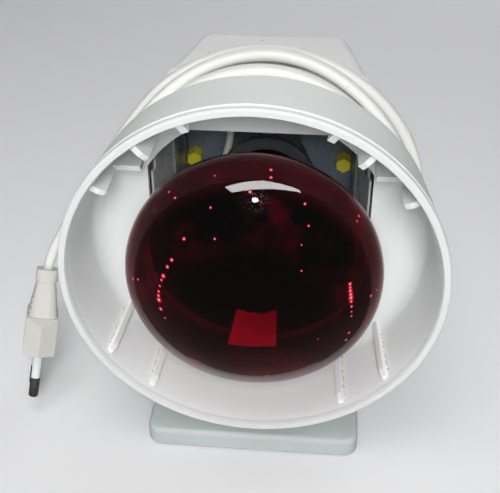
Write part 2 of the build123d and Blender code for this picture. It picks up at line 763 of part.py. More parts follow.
def wing_slot(side, z):
    """A cooling slot through one side wing."""
    x0, x1 = sorted((side * (CHASSIS_BACK_HALF - OVERCUT), side * (CHASSIS_FRONT_HALF + OVERCUT)))
    y0, y1 = WING_SLOT_SPAN
    return block((x0, y0, z - WING_SLOT_HEIGHT / 2), (x1, y1, z + WING_SLOT_HEIGHT / 2))


def chassis_nuts():
    """Two hexagonal plastic plugs that pin the chassis to its pillars."""
    nuts = []
    for x in (-NUT_X, NUT_X):
        face = (x, PLATE_FRONT, NUT_Z)
        head = hexagon((x, PLATE_FRONT - NUT_LENGTH, NUT_Z), face, NUT_RADIUS)
        nuts.append(head + rod(face, (x, PLATE_FRONT + NUT_PIN_LENGTH, NUT_Z), NUT_PIN_RADIUS))
    return group(nuts)


# ---- Lampholder ----
PLATE_FRONT = CHASSIS_BACK - CHASSIS_SHEET
BLOCK_FRONT = SKIRT_FRONT + SKIRT_LENGTH
SHELL_FRONT = BLOCK_FRONT + 1.0
SHELL_REAR = CAP_FRONT + CAP_LENGTH
CONTACT_TIP = SHELL_REAR + CAP_TIP_LENGTH
TONGUE_REAR = HOLDER_REAR - HOLDER_REAR_WALL
SIDE_TERMINAL_END = HOLDER_TAIL_RADIUS + SIDE_TERMINAL_REACH
SIDE_TERMINAL = (
    (-SIDE_TERMINAL_END, BLOCK_FRONT + 1.6, -8.0),
    (-HOLDER_TAIL_RADIUS + 0.8, PLATE_FRONT, 2.0),
)
TERMINAL_SCREWS = (
    ((-8.0, HOLDER_REAR - 1.9, 0), (-8.0, HOLDER_REAR + 1.2, 0)),
    ((-HOLDER_TAIL_RADIUS - 0.1, 88.0, -3.0), (-SIDE_TERMINAL_END - 1.2, 88.0, -3.0)),
)


def lampholder_base():
    """The moulded holder: a block on the plate and a round tail through it, bored from the front."""
    half_w, half_h = HOLDER_BLOCK_WIDTH / 2, HOLDER_SCREW_Z + HOLDER_BLOCK_MARGIN
    base = block((-half_w, BLOCK_FRONT, -half_h), (half_w, PLATE_FRONT, half_h))
    base += rod((0, BLOCK_FRONT, 0), (0, PLATE_FRONT, 0), HOLDER_TAIL_RADIUS)
    base += block(*SIDE_TERMINAL)
    base += rod((0, PLATE_FRONT, 0), (0, HOLDER_REAR, 0), HOLDER_TAIL_RADIUS)
    base -= rod((0, BLOCK_FRONT - OVERCUT, 0), (0, TONGUE_REAR, 0), HOLDER_BORE)
    for z in (-HOLDER_SCREW_Z, HOLDER_SCREW_Z):
        start, end = (0, BLOCK_FRONT - OVERCUT, z), (0, PLATE_FRONT + OVERCUT, z)
        base -= rod(start, end, HOLDER_SCREW_RADIUS + FIT)
    for tip, head in TERMINAL_SCREWS:
        base -= rod(tip, head, TERMINAL_SCREW_RADIUS + RUNNING)
    return base


def lampholder_skirt():
    """The stepped ring in front of the holder."""
    mouth = HOLDER_BORE + SKIRT_MOUTH
    step = BLOCK_FRONT - SKIRT_STEP
    return turned(
        [
            (mouth, SKIRT_FRONT),
            (SKIRT_RADIUS - SKIRT_BEVEL, SKIRT_FRONT),
            (SKIRT_RADIUS, SKIRT_FRONT + SKIRT_BEVEL),
            (SKIRT_RADIUS, step),
            (SKIRT_RADIUS - SKIRT_STEP_DEPTH, step),
            (SKIRT_RADIUS - SKIRT_STEP_DEPTH, BLOCK_FRONT),
            (HOLDER_BORE, BLOCK_FRONT),
            (HOLDER_BORE, SKIRT_FRONT + SKIRT_MOUTH_DEPTH),
            (mouth, SKIRT_FRONT + SKIRT_MOUTH_DEPTH),
        ]
    )


def lampholder_screw_shell():
    crest = HOLDER_BORE - HOLDER_SHELL_THICKNESS
    back = HOLDER_BORE - FIT
    return turned(thread_outline(crest, HOLDER_THREAD_DEPTH, SHELL_FRONT, SHELL_REAR, back))


def thread_outline(crest, depth, start, end, far_radius):
    """A ringed profile from start to end that ripples inwards by depth, backed at far_radius."""
    turns = int((end - start) / CAP_PITCH)
    step = (end - start) / turns
    points = [(far_radius, start)]
    for turn in range(turns):
        y = start + turn * step
        points += [(crest, y), (crest - depth, y + step / 2)]
    points += [(crest, end), (far_radius, end)]
    return points


def lampholder_centre_contact():
    """A brass tongue at the bottom of the holder, with the spot that the bulb's contact meets."""
    low = (-TONGUE_HALF_WIDTH, TONGUE_REAR - TONGUE_THICKNESS, -TONGUE_HALF_LENGTH)
    high = (TONGUE_HALF_WIDTH, TONGUE_REAR, TONGUE_HALF_LENGTH)
    spot = rod((0, CONTACT_TIP + FIT, 0), (0, TONGUE_REAR - TONGUE_THICKNESS / 2, 0), TONGUE_SPOT_RADIUS)
    return block(low, high) + spot


def lampholder_screws():
    tip = CHASSIS_BACK + HOLDER_SCREW_PROUD
    sizes = (HOLDER_SCREW_RADIUS, HOLDER_SCREW_HEAD, HOLDER_SCREW_HEAD_HEIGHT)
    return group(
        screw((0, tip, z), (0, BLOCK_FRONT, z), *sizes) for z in (-HOLDER_SCREW_Z, HOLDER_SCREW_Z)
    )


def lampholder_terminal_screws():
    return group(
        screw(tip, head, TERMINAL_SCREW_RADIUS, TERMINAL_SCREW_HEAD, TERMINAL_SCREW_HEAD_HEIGHT)
        for tip, head in TERMINAL_SCREWS
    )


# ---- Wiring ----
TERMINAL_MIDDLE = sum(TERMINAL_SPAN) / 2
CLAMP_TOP = WIRE_HEIGHT + 0.6 - INNER_CORD_RADIUS - CLAMP_SQUEEZE
CLAMP_BOTTOM = CLAMP_TOP - CLAMP_THICKNESS


def round_tube(points, radius):
    """A tube along straight runs joined by arcs of one radius."""
    path = FilletPolyline(*points, radius=WIRE_CORNER)
    section = Plane(origin=path @ 0, z_dir=path % 0) * Circle(radius)
    return sweep(section, path=path)


def live_lead():
    return round_tube(LIVE_ROUTE, LEAD_RADIUS)


def neutral_lead():
    return round_tube(NEUTRAL_ROUTE, LEAD_RADIUS)


def terminal_block():
    """A two-pole block hung from the roof, wired from side to side."""
    (y0, y1), (low, high) = TERMINAL_SPAN, TERMINAL_Z
    roof = housing_halves(y1)[2] - HOUSING_WALL
    half = TERMINAL_STEM
    body = block((-TERMINAL_HALF, y0, low), (TERMINAL_HALF, y1, high))
    body += block((-half, TERMINAL_MIDDLE - half, high), (half, TERMINAL_MIDDLE + half, roof - FIT))
    reach = TERMINAL_HALF + OVERCUT
    for y in TERMINAL_ROWS:
        body -= rod((-reach, y, WIRE_HEIGHT), (reach, y, WIRE_HEIGHT), TERMINAL_BORE)
        for x in (-TERMINAL_SCREW_X, TERMINAL_SCREW_X):
            body -= rod((x, y, low - OVERCUT), (x, y, WIRE_HEIGHT), TERMINAL_SCREW_RADIUS + RUNNING)
    return body


def terminal_block_screws():
    """Headless slotted screws that pinch the wires from below."""
    radius = TERMINAL_SCREW_RADIUS
    tip, slot_top = WIRE_HEIGHT - 1.2, TERMINAL_Z[0] + 1.2
    return group(
        screw((x, y, tip), (x, y, slot_top), radius, radius, 1.0)
        for x in (-TERMINAL_SCREW_X, TERMINAL_SCREW_X)
        for y in TERMINAL_ROWS
    )


def cord_gland():
    """A flanged bush through the neck, under the winding."""
    flange_end = NECK_BORE - GLAND_SUNK
    flange_start = flange_end - GLAND_FLANGE_THICKNESS
    bush = sleeve(on_gland(flange_end), on_gland(NECK_RADIUS - GLAND_SUNK), GLAND_RADIUS, GLAND_BORE)
    flange_radius = GLAND_RADIUS + GLAND_FLANGE
    return bush + sleeve(on_gland(flange_start), on_gland(flange_end), flange_radius, GLAND_BORE)


def inner_cord():
    """The cord's end inside the lamp, from the gland through the clamp to the terminal block."""
    points = [
        on_gland(NECK_RADIUS - GLAND_SUNK),
        on_gland(NECK_BORE - 8.0, 1.5),
        (CLAMP_X - 1.0, CLAMP_Y - 10.0, WIRE_HEIGHT + 1.2),
        (CLAMP_X, CLAMP_Y, WIRE_HEIGHT + 0.6),
        (CLAMP_X - 0.6, TERMINAL_MIDDLE, WIRE_HEIGHT + 0.2),
        (TERMINAL_HALF + 0.2, TERMINAL_MIDDLE, WIRE_HEIGHT),
    ]
    return round_tube(points, INNER_CORD_RADIUS)


def cord_clamp():
    """A bar under the cord with two posts that meet the pillars in the roof."""
    bar = block(
        (CLAMP_X - CLAMP_HALF_LENGTH, CLAMP_Y - CLAMP_HALF_WIDTH, CLAMP_BOTTOM),
        (CLAMP_X + CLAMP_HALF_LENGTH, CLAMP_Y + CLAMP_HALF_WIDTH, CLAMP_TOP),
    )
    for x in clamp_points():
        bar += rod((x, CLAMP_Y, CLAMP_TOP), (x, CLAMP_Y, CLAMP_LOW), CLAMP_POST_RADIUS)
        start, end = CLAMP_BOTTOM - OVERCUT, CLAMP_LOW + OVERCUT
        bar -= rod((x, CLAMP_Y, start), (x, CLAMP_Y, end), CLAMP_SCREW_RADIUS + LOOSE)
    return bar


def cord_clamp_screws():
    tip = CLAMP_LOW + CLAMP_SCREW_REACH
    sizes = (CLAMP_SCREW_RADIUS, CLAMP_SCREW_HEAD, CLAMP_SCREW_HEAD_HEIGHT)
    return group(
        screw((x, CLAMP_Y, tip), (x, CLAMP_Y, CLAMP_BOTTOM), *sizes) for x in clamp_points()
    )


# ---- Mains cord outside the lamp ----
def cord_winding():
    """The outer shape of the cord's turns around the neck."""
    inner = NECK_RADIUS + LOOSE
    outer = inner + WINDING_LAYERS * CORD_THICKNESS
    start, end = NECK_START + WINDING_GAP, NECK_END - WINDING_GAP
    corners = [((outer, start), WINDING_EDGE), ((outer, end), WINDING_EDGE)]
    return turned([(inner, start), (outer, start), (outer, end), (inner, end)], corners)


def route_radii(points):
    """One arc radius for each inner point of a route: 0.45 of the shorter run over tan(half the turn)."""
    radii = []
    for a, b, c in zip(points, points[1:], points[2:]):
        before, after = Vector(*b) - Vector(*a), Vector(*c) - Vector(*b)
        half_turn = radians(before.get_angle(after)) / 2
        radii.append(0.45 * min(before.length, after.length) * cos(half_turn) / sin(half_turn))
    return radii


def cord_tail():
    """The free stretch of cord from the winding down to the plug."""
    radii = route_radii(CORD_ROUTE)
    print("cord arc radii", [round(r, 1) for r in radii])
    path = FilletPolyline(*CORD_ROUTE, radius=radii)
    section_radius = CORD_THICKNESS / 2 + CORD_CLEARANCE
    section = Plane(origin=path @ 0, z_dir=path % 0) * Circle(section_radius)
    tube = sweep(section, path=path)
    expected = pi * section_radius**2 * path.length
    print("cord tail length", round(path.length, 1), "volume", round(tube.volume), "of", round(expected))
    return tube


# ---- Plug ----
PLUG_FACE = Vector(*PLUG_PIN_TIPS) + Vector(*PLUG_AXIS).normalized() * PLUG_PIN_LENGTH
PLUG = Plane(
    origin=PLUG_FACE,
    x_dir=Vector(*PLUG_WIDE_AXIS).cross(Vector(*PLUG_AXIS)),
    z_dir=Vector(*PLUG_AXIS),
)
PIN_POINTS = (-PLUG_PIN_SPACING / 2, PLUG_PIN_SPACING / 2)


def plug_section(size, height):
    """A rounded section of the plug's grip, from its thickness, width and corner."""
    thickness, width, corner = size
    return (Pos(0, 0, height) * RectangleRounded(thickness, width, corner)).face()


def plug_block():
    """The six-sided block at the pins, bevelled from its narrow sides' ridges up to the grip."""
    half_t, half_f, half_w = PLUG_THICKNESS / 2, PLUG_FLAT_WIDTH / 2, PLUG_WIDTH / 2
    edge = [(half_t, half_f), (0, half_w), (-half_t, half_f)]
    outline = make_face(Polyline(*edge, *[(-x, -y) for x, y in edge], close=True))
    body = extrude(outline, PLUG_BLOCK_LENGTH)
    slope = (PLUG_BLOCK_LENGTH - PLUG_RIDGE_LENGTH) / (half_w - half_f)
    reach = half_w + OVERCUT
    drop = PLUG_BLOCK_LENGTH - slope * (reach - half_f)
    for side in (-1, 1):
        wedge = [
            (side * half_f, PLUG_BLOCK_LENGTH),
            (side * reach, drop),
            (side * reach, PLUG_BLOCK_LENGTH + OVERCUT),
            (side * half_f, PLUG_BLOCK_LENGTH + OVERCUT),
        ]
        profile = Plane.YZ * make_face(Polyline(*wedge, close=True))
        body -= extrude(profile, PLUG_THICKNESS, both=True)
    return body


def grip_half_thickness(height):
    """Half the grip's thickness at a height above the block."""
    rise = PLUG_BODY_LENGTH - PLUG_COLLAR_LENGTH - PLUG_BLOCK_LENGTH
    share = (height - PLUG_BLOCK_LENGTH) / rise
    return (PLUG_SHOULDER[0] + (PLUG_WAIST[0] - PLUG_SHOULDER[0]) * share) / 2


def plug_body():
    """A block at the pins, then a ribbed grip that narrows to a collar round the cord."""
    collar_start = PLUG_BODY_LENGTH - PLUG_COLLAR_LENGTH
    body = plug_block()
    shoulder, waist = plug_section(PLUG_SHOULDER, PLUG_BLOCK_LENGTH), plug_section(PLUG_WAIST, collar_start)
    body += loft([shoulder, waist], ruled=True)
    body += extrude(plug_section(PLUG_COLLAR, collar_start), PLUG_COLLAR_LENGTH)
    for row in range(GRIP_COUNT):
        z = PLUG_BLOCK_LENGTH + (row + 0.5) * GRIP_PITCH
        for side in (-1, 1):
            x = side * (grip_half_thickness(z) - GRIP_GROOVE_DEPTH + PLUG_THICKNESS / 2)
            body -= Pos(x, 0, z) * Box(PLUG_THICKNESS, PLUG_WIDTH, GRIP_GROOVE)
    for y in PIN_POINTS:
        body -= rod((0, y, -OVERCUT), (0, y, PLUG_SLEEVE_ROOT), PLUG_SLEEVE_RADIUS + RUNNING)
    return PLUG * body


def plug_pins():
    """The bare metal ends of the two pins, with their roots inside the sleeves."""
    pins = []
    for y in PIN_POINTS:
        tip = rod((0, y, -PLUG_PIN_LENGTH), (0, y, -PLUG_SLEEVE_LENGTH), PLUG_PIN_RADIUS)
        tip = fillet(tip.edges().group_by(Axis.Z)[0], PLUG_PIN_TIP)
        root = rod((0, y, -PLUG_SLEEVE_LENGTH), (0, y, PLUG_SLEEVE_ROOT), PLUG_PIN_CORE)
        pins.append(PLUG * (tip + root))
    return group(pins)


def plug_pin_sleeves():
    sleeves = []
    for y in PIN_POINTS:
        start, end = (0, y, -PLUG_SLEEVE_LENGTH), (0, y, PLUG_SLEEVE_ROOT)
        sleeves.append(PLUG * sleeve(start, end, PLUG_SLEEVE_RADIUS, PLUG_PIN_CORE + RUNNING))
    return group(sleeves)


# ---- Bulb ----
def bulb_outline(inset):
    """The glass's half outline from the dome's middle to the neck's end, moved in by an inset."""
    edge_x = BULB_RADIUS - BULB_EDGE_RADIUS
    dome_y = BULB_SETBACK + DOME_GAP
    turn = atan2(edge_x, DOME_GAP)
    dome = DOME_RADIUS - inset
    edge = BULB_EDGE_RADIUS - inset
    back = BULB_BACK_RADIUS - inset
    back_x = BULB_RADIUS - BULB_BACK_RADIUS
    end_turn = radians(BULB_BACK_ANGLE)
    neck = BULB_NECK_RADIUS - inset

    def on_dome(angle):
        return (dome * sin(angle), dome_y - dome * cos(angle))

    def on_edge(angle):
        return (edge_x + edge * sin(angle), BULB_SETBACK - edge * cos(angle))

    def on_back(angle):
        return (back_x + back * cos(angle), BULB_SETBACK + back * sin(angle))

    shoulder = on_back(end_turn)
    slope = sin(end_turn) / cos(end_turn)
    flare = BULB_FLARE_RADIUS + inset
    flare_x = BULB_NECK_RADIUS + BULB_FLARE_RADIUS
    flare_run = (shoulder[0] - flare_x + flare * cos(end_turn)) / slope
    flare_y = shoulder[1] + flare_run + flare * sin(end_turn)
    neck_end = (neck, CAP_FRONT + 3)

    def on_flare(angle):
        return (flare_x - flare * cos(angle), flare_y - flare * sin(angle))

    return [
        ThreePointArc(on_dome(0), on_dome(turn / 2), on_dome(turn)),
        ThreePointArc(on_dome(turn), on_edge((turn + radians(90)) / 2), on_edge(radians(90))),
        ThreePointArc(on_edge(radians(90)), on_back(end_turn / 2), shoulder),
        Line(shoulder, on_flare(end_turn)),
        ThreePointArc(on_flare(end_turn), on_flare(end_turn / 2), on_flare(0)),
        Line(on_flare(0), neck_end),
    ], neck_end


def bulb_solid(inset):
    curve, neck_end = bulb_outline(inset)
    front = curve[0] @ 0
    closing = [Line(neck_end, (0, neck_end[1])), Line((0, neck_end[1]), (front.X, front.Y))]
    return revolve(make_face(Wire(curve + closing)), Axis.Y)


def bulb_glass():
    """The blown envelope, hollow, with its neck drawn in to sit inside the cap."""
    outer = CAP_RADIUS - CAP_SHEET - 1.0
    inner = outer - 1.0
    glass = bulb_solid(0) - bulb_solid(GLASS_WALL)
    trim = sleeve((0, CAP_FRONT, 0), (0, CAP_FRONT + 4, 0), CAP_RADIUS + 5, outer)
    seat = sleeve((0, CAP_FRONT - 3, 0), (0, CAP_FRONT, 0), BULB_NECK_RADIUS - 0.5, inner)
    tube = sleeve((0, CAP_FRONT - 1, 0), (0, CAP_FRONT + 8, 0), outer, inner)
    return glass - trim + seat + tube


def bulb_cap():
    """The screw cap's shell, ringed for its thread, with a turned-in rear edge."""
    start, end = CAP_FRONT + CAP_SHEET / 2, SHELL_REAR
    plain_end = start + CAP_PLAIN
    back = CAP_RADIUS - CAP_THREAD_DEPTH - CAP_SHEET
    thread = thread_outline(CAP_RADIUS, CAP_THREAD_DEPTH, plain_end, end, back)
    cap = turned(thread) + sleeve((0, start, 0), (0, plain_end, 0), CAP_RADIUS, back)
    taper = turned(
        [
            (back, end - 0.1),
            (CAP_RADIUS, end - 0.1),
            (CAP_RADIUS - 4.2, end + CAP_TAPER),
            (CAP_RADIUS - 5.2, end + CAP_TAPER),
        ]
    )
    return cap + taper


def bulb_cap_insulator():
    """The black glass disc between the cap's edge and its centre contact."""
    bore, front, rear = CONTACT_STEM + 0.1, SHELL_REAR + CAP_SHEET, CONTACT_TIP - CONTACT_THICKNESS
    outer = CAP_RADIUS - 5.4
    return turned(
        [
            (bore, front),
            (CAP_RADIUS - 3.5, front),
            (outer, SHELL_REAR + CAP_TAPER),
            (outer, rear - 0.8),
            (CONTACT_RADIUS + 0.2, rear),
            (bore, rear),
        ]
    )


def bulb_cap_contact():
    disc_start = CONTACT_TIP - CONTACT_THICKNESS
    stem = rod((0, SHELL_REAR - 1.0, 0), (0, disc_start, 0), CONTACT_STEM)
    return stem + rod((0, disc_start, 0), (0, CONTACT_TIP, 0), CONTACT_RADIUS)


def bulb_stem():
    """The glass stem inside the neck that carries the filament's wires."""
    flare = CAP_RADIUS - CAP_SHEET - 2.4
    return turned(
        [
            (0, STEM_FRONT),
            (STEM_RADIUS, STEM_FRONT),
            (STEM_RADIUS + 0.6, STEM_WAIST),
            (flare, STEM_FLARE),
            (flare, STEM_FLARE + 2.0),
            (0, STEM_FLARE + 2.0),
        ]
    )


def bulb_filament():
    """The coiled filament, drawn as one fine ring with a gap between its two ends."""
    ring = Pos(0, FILAMENT_Y, 0) * Rot(90, 0, 0) * Torus(FILAMENT_RADIUS, FILAMENT_THICKNESS)
    gap = block((FILAMENT_RADIUS - 3, FILAMENT_Y - 2, -3), (FILAMENT_RADIUS + 3, FILAMENT_Y + 2, 3))
    return ring - gap


def bulb_filament_supports():
    """Wires that fan out from the stem to the filament."""
    wires = []
    root, reach = STEM_RADIUS - FILAMENT_THICKNESS, FILAMENT_RADIUS - FILAMENT_THICKNESS - 0.15
    for index in range(SUPPORT_COUNT):
        angle = 2 * pi * (index + 0.5) / SUPPORT_COUNT
        x, z = cos(angle), sin(angle)
        start = (root * x, STEM_FRONT - 0.1, root * z)
        end = (reach * x, FILAMENT_Y + FILAMENT_THICKNESS + 0.1, reach * z)
        wires.append(rod(start, end, SUPPORT_RADIUS))
    return group(wires)


# ---- Pieces ----
FOOT_PIECES = {
    "foot_shell": foot_shell,
    "foot_ballast": foot_ballast,
    "foot_bottom_cover": foot_bottom_cover,
    "foot_cover_screws": foot_cover_screws,
    "rubber_feet": rubber_feet,
    "hinge_bolt": hinge_bolt,
    "hinge_nut": hinge_nut,
    "hinge_spring_washer": hinge_spring_washer,
    "hinge_friction_washers": hinge_friction_washers,
}
HEAD_PIECES = {
    "front_hood": front_hood,
    "hood_screws": hood_screws,
    "rear_housing": rear_housing,
    "chassis_plate": chassis_plate,
    "chassis_nuts": chassis_nuts,
    "lampholder_base": lampholder_base,
    "lampholder_skirt": lampholder_skirt,
    "lampholder_screw_shell": lampholder_screw_shell,
    "lampholder_centre_contact": lampholder_centre_contact,
    "lampholder_screws": lampholder_screws,
    "lampholder_terminal_screws": lampholder_terminal_screws,
    "live_lead": live_lead,
    "neutral_lead": neutral_lead,
    "terminal_block": terminal_block,
    "terminal_block_screws": terminal_block_screws,
    "cord_gland": cord_gland,
    "inner_cord": inner_cord,
    "cord_clamp": cord_clamp,
    "cord_clamp_screws": cord_clamp_screws,
    "cord_winding": cord_winding,
    "cord_tail": cord_tail,
    "plug_body": plug_body,
    "plug_pins": plug_pins,
    "plug_pin_sleeves": plug_pin_sleeves,
    "bulb_glass": bulb_glass,
    "bulb_cap": bulb_cap,
    "bulb_cap_insulator": bulb_cap_insulator,
    "bulb_cap_contact": bulb_cap_contact,
    "bulb_stem": bulb_stem,
    "bulb_filament": bulb_filament,
    "bulb_filament_supports": bulb_filament_supports,
}

os.makedirs("parts", exist_ok=True)
for name, make in FOOT_PIECES.items():
    export_step(FOOT * make(), f"parts/{name}.step")
for name, make in HEAD_PIECES.items():
    export_step(HEAD * make(), f"parts/{name}.step")
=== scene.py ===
import json
from math import atan2, cos, pi, radians, sin, sqrt

import bmesh
import bpy
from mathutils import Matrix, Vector


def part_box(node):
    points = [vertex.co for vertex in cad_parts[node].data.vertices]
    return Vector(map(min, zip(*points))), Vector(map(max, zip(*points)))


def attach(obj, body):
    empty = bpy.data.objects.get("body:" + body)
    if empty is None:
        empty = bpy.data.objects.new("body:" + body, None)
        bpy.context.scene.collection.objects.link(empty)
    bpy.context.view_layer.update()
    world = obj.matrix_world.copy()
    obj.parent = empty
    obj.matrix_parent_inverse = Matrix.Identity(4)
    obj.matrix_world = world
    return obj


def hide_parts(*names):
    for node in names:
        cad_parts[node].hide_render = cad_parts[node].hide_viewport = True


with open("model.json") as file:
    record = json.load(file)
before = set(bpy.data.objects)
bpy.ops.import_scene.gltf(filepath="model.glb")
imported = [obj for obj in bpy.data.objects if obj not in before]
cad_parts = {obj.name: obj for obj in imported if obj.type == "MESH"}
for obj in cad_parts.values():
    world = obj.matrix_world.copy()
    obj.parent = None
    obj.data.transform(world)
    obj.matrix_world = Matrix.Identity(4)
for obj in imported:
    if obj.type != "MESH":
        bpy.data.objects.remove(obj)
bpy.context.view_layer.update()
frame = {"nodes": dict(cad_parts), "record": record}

# An infrared heat lamp. Metres, +Z up, the lamp shines towards -Y. "About the hood" means measured
# from the middle of the hood's front rim, with depth counted towards the rear.

MM = 0.001

# ---- Places taken from the frame ----
hood_low, hood_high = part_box("front_hood")
RIM_Y = hood_low.y
AXIS_Z = (hood_low.z + hood_high.z) / 2
HOOD_CENTRE = Vector((0, RIM_Y, AXIS_Z))


def about_hood(x, depth, z):
    """A point given in millimetres about the hood."""
    return HOOD_CENTRE + Vector((x, depth, z)) * MM


# ---- Shared mesh work ----
def linked(name, data):
    """A new object of this data, in the scene."""
    made = bpy.data.objects.new(name, data)
    bpy.context.scene.collection.objects.link(made)
    return made


def new_piece(name, verts, faces, material=None, smooth=True):
    mesh = bpy.data.meshes.new(name)
    mesh.from_pydata([tuple(v) for v in verts], [], faces)
    mesh.update()
    for polygon in mesh.polygons:
        polygon.use_smooth = smooth
    if material:
        mesh.materials.append(material)
    return linked(name, mesh)


def closed_tube(rings):
    """Faces that join equal rings of points in order, with both ends filled."""
    count = len(rings[0])
    verts = [point for ring in rings for point in ring]
    faces = []
    for row in range(len(rings) - 1):
        for k in range(count):
            after = (k + 1) % count
            a, b = row * count + k, row * count + after
            faces.append((a, b, b + count, a + count))
    faces.append(tuple(reversed(range(count))))
    last = (len(rings) - 1) * count
    faces.append(tuple(range(last, last + count)))
    return verts, faces


# ---- Camera ----
# Its place is about the hood, and its angles are in degrees.
PICTURE_WIDTH = 500
FOCAL_PIXELS = 900.0
SENSOR_WIDTH = 36.0
CAMERA_PLACE = (22.1, -257.2, 193.9)
CAMERA_AZIMUTH = 5.02
CAMERA_ELEVATION = 34.2
CAMERA_NEAREST = 0.01


def add_camera():
    data = bpy.data.cameras.new("camera")
    data.sensor_width = SENSOR_WIDTH
    data.lens = FOCAL_PIXELS / PICTURE_WIDTH * SENSOR_WIDTH
    data.clip_start = CAMERA_NEAREST
    camera = linked("camera", data)
    camera.location = about_hood(*CAMERA_PLACE)
    camera.rotation_euler = (radians(90 - CAMERA_ELEVATION), 0, radians(CAMERA_AZIMUTH))
    bpy.context.scene.camera = camera


add_camera()


# ---- Mains cord ----
# Millimetres, but the length is in metres.
CORD_WIDTH = 6.6
CORD_THICKNESS = 4.0
CORD_EDGE = 1.75
TURN_STEP = 15
SPLINE_STEPS = 5
CORNER_STEPS = 4
# The turns round the neck, from the gland to where the cord leaves: angle from the lamp's right
# side over the top, depth behind the rim, and distance from the hood's axis.
TURNS = [
    (70, 43.5, 59.4), (90, 42.7, 60.9), (115, 42.8, 60.6), (140, 47.5, 59.4), (165, 54.5, 59.4),
    (180, 56.0, 59.4), (225, 54.0, 59.4), (270, 49.5, 59.4), (315, 45.0, 59.4), (345, 42.8, 59.4),
    (390, 42.7, 59.4), (412, 42.8, 60.6), (430, 45.2, 62.8), (450, 49.7, 63.2), (470, 45.6, 62.8),
    (490, 42.8, 60.8), (510, 42.7, 59.4), (570, 42.7, 59.4), (610, 43.6, 62.0), (640, 46.0, 63.4),
    (675, 48.4, 63.4), (705, 49.4, 60.5), (730, 49.4, 59.4), (752, 47.6, 61.6), (770, 48.5, 63.8),
    (785, 54.6, 65.0), (810, 60.8, 65.2), (833, 53.0, 65.0), (848, 46.5, 63.6), (866, 47.2, 61.2),
    (885, 49.3, 59.6), (910, 49.4, 59.6), (935, 50.0, 62.6), (960, 51.5, 63.4), (990, 55.0, 63.4),
    (1030, 60.0, 60.6), (1060, 62.4, 59.4), (1110, 61.5, 59.4), (1140, 57.5, 59.4),
    (1170, 56.0, 59.4), (1200, 58.0, 59.4), (1225, 62.4, 59.4), (1290, 62.9, 59.4),
    (1350, 63.6, 60.2), (1390, 64.8, 62.8), (1440, 65.0, 63.3), (1485, 65.3, 63.3),
    (1530, 66.9, 63.3), (1560, 64.6, 63.1), (1574, 63.4, 62.9),
]
# The free stretch down to the plug, about the hood.
TAIL_ROUTE = [
    (-50.2, 62.5, 37.8), (-57.2, 62.6, 28.0), (-64.0, 61.6, 18.2), (-70.3, 60.1, 9.4),
    (-75.6, 58.4, 0.8), (-80.8, 55.9, -8.0), (-85.2, 53.3, -16.2), (-89.6, 50.2, -23.6),
    (-91.3, 46.98, -30.14),
]
PLUG_WIDE_AXIS = Vector((-0.2969, 0.8578, -0.4195)).normalized()


def turn_at(angle):
    """Depth and radius of the winding at an angle, eased between the rows of TURNS."""
    for (a0, *low), (a1, *high) in zip(TURNS, TURNS[1:]):
        if angle <= a1:
            share = (angle - a0) / (a1 - a0)
            return [p + (q - p) * share for p, q in zip(low, high)]
    return TURNS[-1][1:]


def cord_control_points():
    points = []
    spread = 1 / cos(radians(TURN_STEP / 2))
    angle = TURNS[0][0]
    while angle <= TURNS[-1][0]:
        depth, radius = turn_at(angle)
        reach = radius * spread
        points.append((reach * cos(radians(angle)), depth, reach * sin(radians(angle))))
        angle += TURN_STEP
    return [about_hood(*p) for p in points + TAIL_ROUTE]


def spline_points(control):
    """The points of one smooth NURBS spline over the control points."""
    curve = bpy.data.curves.new("cord_line", "CURVE")
    curve.dimensions = "3D"
    curve.resolution_u = SPLINE_STEPS
    spline = curve.splines.new("NURBS")
    spline.points.add(len(control) - 1)
    for point, place in zip(spline.points, control):
        point.co = (*place, 1)
    spline.order_u = 3
    spline.use_endpoint_u = True
    line = linked("cord_line", curve)
    mesh = bpy.data.meshes.new_from_object(line)
    points = [v.co.copy() for v in mesh.vertices]
    bpy.data.objects.remove(line)
    bpy.data.meshes.remove(mesh)
    return points


def flat_section(wide, thick, edge):
    """Points round a flat section with round edges, anticlockwise from its right side."""
    points = []
    for corner, (sx, sy) in enumerate([(1, 1), (-1, 1), (-1, -1), (1, -1)]):
        for k in range(CORNER_STEPS):
            turn = radians(90) * (corner + k / (CORNER_STEPS - 1))
            x = sx * (wide / 2 - edge) + edge * cos(turn)
            y = sy * (thick / 2 - edge) + edge * sin(turn)
            points.append((x, y))
    return points


def mains_cord():
    """The cord from gland to plug, turned to the plug's lie at its end, and its middle line."""
    line = spline_points(cord_control_points())
    section = flat_section(CORD_WIDTH * MM, CORD_THICKNESS * MM, CORD_EDGE * MM)
    rings = []
    last, tail_count = len(line) - 1, SPLINE_STEPS * (len(TAIL_ROUTE) - 1)
    for k, place in enumerate(line):
        ahead = (line[min(k + 1, last)] - line[max(k - 1, 0)]).normalized()
        tail = max(0.0, 1 - (last - k) / tail_count)
        wide = Vector((0, 1, 0)).lerp(PLUG_WIDE_AXIS, tail)
        wide = (wide - ahead * wide.dot(ahead)).normalized()
        out = wide.cross(ahead)
        rings.append([place + wide * x + out * y for x, y in section])
    piece = new_piece("mains_cord", *closed_tube(rings))
    return piece, line


cord, cord_line = mains_cord()
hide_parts("cord_winding", "cord_tail")
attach(cord, "head")


# ---- Materials ----
# Scales are in waves or cells to the metre, levels are of a noise, and heights are in metres.
PATCH_SCALE = 60.0
CLOUD_SCALE = 28.0
CLOUD_LEVELS = (0.35, 0.75)
PLASTIC_GLOSS_SCALE = 45.0
METAL_GLOSS_SCALE = 120.0
GLOSS_LEVELS = (0.3, 0.7)
GRAIN_SCALE = 900.0
GRAIN_STRENGTH = 0.12
GRAIN_HEIGHT = 0.0002
GLASS_WAVE_HEIGHT = 0.0006
SPOT_SOFTNESS = 0.6
DOT_CORE = 0.2
SPECK_DARKNESS = 0.35


def darker(colour, share):
    """A colour with only this share of its light."""
    return tuple(c * share for c in colour)


